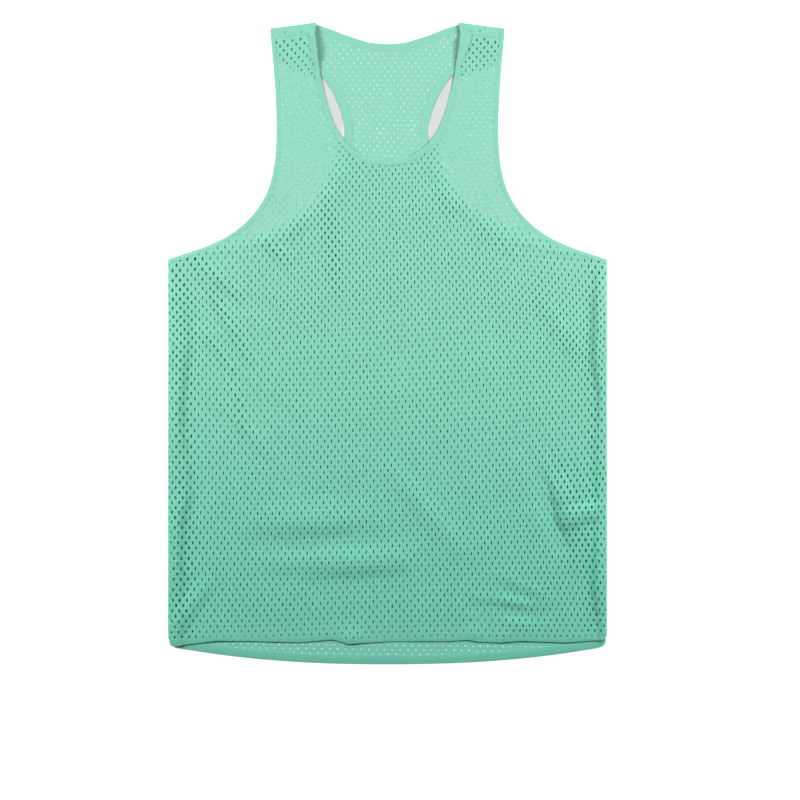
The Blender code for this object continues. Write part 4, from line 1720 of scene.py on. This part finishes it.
def add_node(
    tree: bpy.types.NodeTree,
    kind: str,
    settings: dict[str | int, object],
    links: dict[str | int, bpy.types.NodeSocket],
) -> bpy.types.Node:
    """Adds a node with its settings and links.

    Args:
        tree: The material's node tree.
        kind: Blender's name of the node type.
        settings: Attributes of the node, or values of its inputs, by name or place.
        links: Sockets to join to its inputs, by input name or place.

    Returns:
        The node.
    """
    node = tree.nodes.new(kind)
    for name, value in settings.items():
        if isinstance(name, int) or name in node.inputs:
            node.inputs[name].default_value = value
        else:
            setattr(node, name, value)
    for name, socket in links.items():
        tree.links.new(socket, node.inputs[name])
    return node


def new_material(name: str) -> tuple[bpy.types.Material, bpy.types.NodeTree, bpy.types.Node]:
    """A new material, its node tree and its surface shader.

    Args:
        name: Name of the material.

    Returns:
        The material, its node tree and its surface shader.
    """
    made = bpy.data.materials.new(name)
    made.use_nodes = True
    return made, made.node_tree, made.node_tree.nodes["Principled BSDF"]


@dataclass(frozen=True)
class KnitFinish:
    """Dyed polyester knit: a matt skin of fine loops that passes light, mostly green and blue.

    A mix of a matt face and a translucent one on both sides of the cloth, so that what lies behind a
    layer is lit through it.
    """

    name: str
    colour: str
    shade_colour: str
    painted_low_shade_colour: str  # painted shade: the darker colour that the cloth goes over to below the middle of the body
    course: float  # millimetres from one course of loops to the next
    roughness: float
    bump: float
    passed_colour: str = "#6CCFBF"  # of the light that a face lets through
    passed: float = 0.5  # share of the light that a face lets through
    specular: float = 0.25  # a knit's faces gleam less than smooth plastic
    blotch: float = 16.67  # millimetres across a blotch of the dye
    tone_from: float = 300.0  # millimetres up the flat cloth's map where the painted shade of the lower colour starts
    tone_to: float = 620.0
    wale_share: float = 0.8  # of the courses' number that the wales have
    uneven: float = 1.2  # how far the loops stray from straight rows
    loop_height: float = 0.3  # millimetres

    def loops(self, tree: bpy.types.NodeTree, place: bpy.types.NodeSocket) -> bpy.types.Node:
        """The knit's loops as a bump: courses times wales, each a wave along the cloth's map.

        A wave texture has 20 / (2 pi) waves to a unit at scale 1, so the scale that gives one wave to a
        course is 2 pi / 20 over the course.

        Args:
            tree: The material's node tree.
            place: The cloth's map.

        Returns:
            The bump node.
        """
        turns = 2 * math.pi / (self.course * MM) / 20.0
        uneven = {"Distortion": self.uneven, "Detail": 1.0, "Detail Scale": 2.0}
        waves = [
            add_node(
                tree,
                "ShaderNodeTexWave",
                {"bands_direction": direction, "Scale": turns * share, **uneven},
                {"Vector": place},
            )
            for direction, share in (("Y", 1.0), ("X", self.wale_share))
        ]
        heights = {k: wave.outputs["Fac"] for k, wave in enumerate(waves)}
        loops = add_node(tree, "ShaderNodeMath", {"operation": "MULTIPLY"}, heights)
        depth = {"Strength": self.bump, "Distance": self.loop_height * MM}
        return add_node(tree, "ShaderNodeBump", depth, {"Height": loops.outputs["Value"]})

    def base_colour(self, tree: bpy.types.NodeTree, place: bpy.types.NodeSocket) -> bpy.types.NodeSocket:
        """Two near colours mixed by a soft noise, going over to the third one down the cloth, a painted shade
        on the lower body.

        Args:
            tree: The material's node tree.
            place: The cloth's map.

        Returns:
            The socket with the colour.
        """
        size = {"Scale": 1.0 / (self.blotch * MM), "Detail": 2.0}
        blotch = add_node(tree, "ShaderNodeTexNoise", size, {"Vector": place})
        near = {FIRST_COLOUR: linear(self.colour), SECOND_COLOUR: linear(self.shade_colour)}
        mixed = add_node(tree, "ShaderNodeMix", {**COLOUR_MIX, **near}, {"Factor": blotch.outputs["Fac"]})
        spot = add_node(tree, "ShaderNodeSeparateXYZ", {}, {"Vector": place})
        reach = {"From Min": self.tone_from * MM, "From Max": self.tone_to * MM}
        low = add_node(tree, "ShaderNodeMapRange", reach, {"Value": spot.outputs["Y"]})
        # Painted shade: the colour goes over to a darker one down the lower body.
        low_painted_shade = add_node(
            tree,
            "ShaderNodeMix",
            {**COLOUR_MIX, SECOND_COLOUR: linear(self.painted_low_shade_colour)},
            {"Factor": low.outputs["Result"], FIRST_COLOUR: mixed.outputs[MIXED_COLOUR]},
        )
        return low_painted_shade.outputs[MIXED_COLOUR]

    def material(self) -> bpy.types.Material:
        """The finish as a material. All of it follows the cloth's own UV map.

        Returns:
            The material.
        """
        made, tree, shader = new_material(self.name)
        place = add_node(tree, "ShaderNodeUVMap", {"uv_map": "Cloth"}, {}).outputs["UV"]
        tree.links.new(self.base_colour(tree, place), shader.inputs["Base Color"])
        tree.links.new(self.loops(tree, place).outputs["Normal"], shader.inputs["Normal"])
        shader.inputs["Roughness"].default_value = self.roughness
        shader.inputs["Specular IOR Level"].default_value = self.specular
        through = add_node(tree, "ShaderNodeBsdfTranslucent", {"Color": linear(self.passed_colour)}, {})
        faces = {1: shader.outputs["BSDF"], 2: through.outputs["BSDF"]}
        both = add_node(tree, "ShaderNodeMixShader", {"Fac": self.passed}, faces)
        tree.links.new(both.outputs["Shader"], tree.nodes["Material Output"].inputs["Surface"])
        return made


@dataclass(frozen=True)
class ThreadFinish:
    """Spun polyester sewing thread: a little deeper than the knit, with a faint shine on each stitch."""

    name: str = "Polyester sewing thread"
    colour: str = "#7CC9B1"
    light_colour: str = "#86D2BB"
    ply: float = 1.11  # millimetres across a light or dark spot of the spun yarn
    roughness: float = 0.55

    def material(self) -> bpy.types.Material:
        """Mixes two near colours by a fine noise.

        Returns:
            The material.
        """
        made, tree, shader = new_material(self.name)
        place = add_node(tree, "ShaderNodeTexCoord", {}, {}).outputs["Object"]
        spots = {"Scale": 1.0 / (self.ply * MM), "Detail": 1.0}
        spun = add_node(tree, "ShaderNodeTexNoise", spots, {"Vector": place})
        near = {FIRST_COLOUR: linear(self.colour), SECOND_COLOUR: linear(self.light_colour)}
        mixed = add_node(tree, "ShaderNodeMix", {**COLOUR_MIX, **near}, {"Factor": spun.outputs["Fac"]})
        tree.links.new(mixed.outputs[MIXED_COLOUR], shader.inputs["Base Color"])
        shader.inputs["Roughness"].default_value = self.roughness
        return made


@dataclass(frozen=True)
class PaintedLightTableFinish:
    """Table finish: dull white with a painted glow, and greyer and dark where the garment lies, a painted
    shade.
    """

    name: str = "Table with painted glow and shade"
    colour: str = "#F9F9F9"
    # painted shade: the grey of the slots, and in part of the table under the cloth
    painted_slot_shade_colour: str = "#C4C8C8"
    roughness: float = 0.8

    def material(self) -> bpy.types.Material:
        """Mixes its two colours by the sheet's Shade, a painted shade, and glows by its Glow, a painted
        light.

        Returns:
            The material.
        """
        made, tree, shader = new_material(self.name)
        glow = add_node(tree, "ShaderNodeAttribute", {"attribute_name": "Glow"}, {})
        dim = add_node(tree, "ShaderNodeAttribute", {"attribute_name": "Shade"}, {})
        both = {FIRST_COLOUR: linear(self.colour), SECOND_COLOUR: linear(self.painted_slot_shade_colour)}
        mixed = add_node(tree, "ShaderNodeMix", {**COLOUR_MIX, **both}, {"Factor": dim.outputs["Fac"]})
        tree.links.new(mixed.outputs[MIXED_COLOUR], shader.inputs["Base Color"])
        # Painted light: the table glows by its Glow, though it is no lamp.
        tree.links.new(glow.outputs["Fac"], shader.inputs["Emission Strength"])
        shader.inputs["Emission Color"].default_value = WHITE
        shader.inputs["Roughness"].default_value = self.roughness
        return made


# Porthole mesh, warp-knitted: matt mint with loops of a millimetre.
MESH = KnitFinish(
    name="Porthole mesh polyester knit",
    colour="#B5FFE9",
    shade_colour="#B0FDE6",
    # painted shade: the lower body's darker colour
    painted_low_shade_colour="#9DFDE6",
    course=1.0,
    roughness=0.75,
    bump=0.3,
)
# Interlock cut as binding: the same mint, with finer and flatter loops.
BINDING = KnitFinish(
    name="Interlock polyester binding",
    colour="#B7FFEA",
    shade_colour="#B2FDE6",
    # painted shade toward the lower body, faint on the binding
    painted_low_shade_colour="#B4FEE8",
    course=0.8,
    roughness=0.7,
    bump=0.25,
)


def garment_outline(lie: Lie) -> Array:
    """The garment's outline as a closed loop: back neck, armholes, sides and tail.

    Args:
        lie: How the garment lies.

    Returns:
        The loop, columns x and drop.
    """
    neck = edge_curve(BACK_NECK, 6.0)[::-1, :2]
    armhole = edge_curve(FRONT_ARMHOLE, 6.0)[:, :2]
    hem_x = np.linspace(HALF, 0.0, 40)
    tail = np.stack([hem_x, lie.tail_hem(hem_x)], axis=1)
    return mirrored(np.concatenate([neck, armhole, tail]))


@dataclass(frozen=True)
class TableTop:
    """A table top with a painted glow, full beside the garment and faint under it, and painted shade that
    greys it under the cloth and in the slots.
    """

    lie: Lie
    finish: PaintedLightTableFinish = PaintedLightTableFinish()
    # painted light: the table glows beside the garment, though it is no lamp
    glow: float = 0.5
    single_glow: float = 0.03  # painted light under one layer of cloth
    double_glow: float = 0.0  # painted light under two layers
    cloth_shade: float = 0.22  # painted shade: how far the table's colour goes to the slots' colour under the cloth
    size: float = 6.0  # metres across
    fine_half: tuple[float, float] = (0.252, 0.366)  # metres that the fine grid reaches
    fine_lines: tuple[int, int] = (169, 245)
    margin: float = 1.0  # millimetres inside the garment's outline where the glow starts to fade
    fade: float = 5.0
    slot_rise: float = 0.25  # of the slots' shade for each millimetre into a slot
    slot_start: float = 1.5  # of the slots' shade at their edge: over 1, so it is full there
    below_hem: float = 2.0  # how much faster the glow comes back below the front hem

    def cover(self, flat: Array) -> Array:
        """How far each point (x, drop) is covered by the garment: 0 outside it, easing to 1 inside.

        Args:
            flat: Points (x, drop), shape (n, 2).

        Returns:
            The cover at each point.
        """
        outline = garment_outline(self.lie)
        deep = distance_to_line(flat, outline, True) - self.margin
        return np.where(inside_loop(flat, outline), smooth_step(deep / self.fade), 0.0)

    def light(self, flat: Array) -> tuple[Array, Array]:
        """The table's glow at each point (x, drop), and its shade.

        Args:
            flat: Points (x, drop), shape (n, 2).

        Returns:
            The glow, and the shade: 1 in the two slots beside the racerback.
        """
        x, drop = flat[:, 0], flat[:, 1]
        past = self.lie.past_back(x, drop)
        open_neck = read(FRONT_NECK[::-1], drop, "drop", "half") - np.abs(x)
        open_neck = np.where(drop < FRONT_NECK[0].drop, open_neck, -self.fade)
        # Painted shade: the slots beside the racerback, inside the front's neck opening, are painted grey.
        slot = smooth_step(self.slot_rise * np.minimum(past, open_neck) + self.slot_start)
        below = self.below_hem * (drop - self.lie.front_hem(x))
        single = smooth_step(np.maximum(np.maximum(past, open_neck), below) / self.fade)
        # Painted light: under the cloth the glow is cut to a trace under one layer, none under two and none
        # in the slots.
        under = (self.double_glow + (self.single_glow - self.double_glow) * single) * (1.0 - slot)
        cover = self.cover(flat)
        return self.glow + cover * (under - self.glow), np.maximum(slot, self.cloth_shade * cover)

    def build(self) -> bpy.types.Object:
        """The table top, a grid at height 0 that is fine under the garment.

        Returns:
            The piece.
        """
        half = self.size / 2
        x, y = (
            np.concatenate([[-half], np.linspace(-reach, reach, lines), [half]])
            for reach, lines in zip(self.fine_half, self.fine_lines)
        )
        grid = np.stack([*np.meshgrid(x, y, indexing="ij"), np.zeros((len(x), len(y)))], axis=-1)
        corner = np.arange(len(x) * len(y)).reshape(len(x), len(y))
        faces = np.stack([corner[:-1, :-1], corner[1:, :-1], corner[1:, 1:], corner[:-1, 1:]], axis=-1)
        points = grid.reshape(-1, 3)
        table = new_object("table_top", points, faces.reshape(-1, 4).tolist())
        flat = np.stack([points[:, 0] / MM, LENGTH / 2 - points[:, 1] / MM], axis=1)
        # The painted glow and painted shade are kept as the table's Glow and Shade.
        for name, values in zip(("Glow", "Shade"), self.light(flat)):
            kept = table.data.attributes.new(name, "FLOAT", "POINT")
            kept.data.foreach_set("value", values.astype(np.float32))
        table.data.materials.append(self.finish.material())
        report(table)
        return table


@dataclass(frozen=True)
class SoftBox:
    """A soft box that faces the middle of the table: where it stands, its size and its power in watts."""

    name: str
    place: tuple[float, float, float]
    size: tuple[float, float]
    power: float

    def build(self) -> None:
        """Puts the light in the scene."""
        light = bpy.data.lights.new(self.name, "AREA")
        light.shape = "RECTANGLE"
        light.size, light.size_y = self.size
        light.energy = self.power
        lamp = bpy.data.objects.new(self.name, light)
        lamp.location = self.place
        lamp.rotation_euler = (-Vector(self.place)).to_track_quat("-Z", "Y").to_euler()
        bpy.context.scene.collection.objects.link(lamp)


@dataclass(frozen=True)
class Studio:
    """Two soft boxes beside the head end of the table, and a camera straight above the garment."""

    frame_width: float = 0.893  # metres of table across the picture
    centre: tuple[float, float] = (0.01395, -0.0636)
    distance: float = 3.0
    sensor: float = 36.0  # millimetres across
    ambient: float = 0.02
    boxes: tuple[SoftBox, ...] = (
        SoftBox("soft box on the left", (-1.1, 0.42, 0.95), (0.5, 0.7), 21.4),
        SoftBox("soft box on the right", (1.1, 0.42, 0.95), (0.5, 0.7), 22.2),
    )

    def build(self) -> None:
        """Sets the camera, the lights and the colour handling."""
        scene = bpy.context.scene
        camera = bpy.data.objects.new("camera", bpy.data.cameras.new("camera"))
        camera.data.lens = self.sensor * self.distance / self.frame_width
        camera.data.sensor_width = self.sensor
        camera.location = (*self.centre, self.distance)
        scene.collection.objects.link(camera)
        scene.camera = camera
        world = bpy.data.worlds.new("studio")
        world.use_nodes = True
        background = world.node_tree.nodes["Background"]
        background.inputs["Color"].default_value = WHITE
        background.inputs["Strength"].default_value = self.ambient
        scene.world = world
        for box in self.boxes:
            box.build()
        scene.view_settings.view_transform = "Standard"


def report(piece: bpy.types.Object) -> None:
    """Says in the log how many faces a piece has."""
    LOG.info("%s: %d faces", piece.name, len(piece.data.polygons))


def dress(piece: bpy.types.Object, finish: bpy.types.Material) -> None:
    """Gives a piece its finish and makes it move with the garment.

    Args:
        piece: The piece.
        finish: Its material.
    """
    piece.data.materials.append(finish)
    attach(piece, BODY)
    report(piece)


def main() -> None:
    """Builds and dresses the garment, the table, the light and the camera."""
    logging.basicConfig(level=logging.INFO, format="%(message)s")
    lie = Lie()
    Studio().build()
    TableTop(lie).build()
    mesh_knit, binding_knit = MESH.material(), BINDING.material()
    panels = Front(lie), Back(lie)
    for panel in panels:
        piece = panel.build()
        dress(piece, mesh_knit)
        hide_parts(piece.name.removesuffix("_panel"))
    strips, seams = Bindings(lie).build()
    for strip in strips:
        dress(strip, binding_knit)
        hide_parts(strip.name.replace("_strip", "_binding"))
    for panel in panels:
        seams += panel.stitches()
    dress(Stitching().build(seams), ThreadFinish().material())


if __name__ == "__main__":
    main()
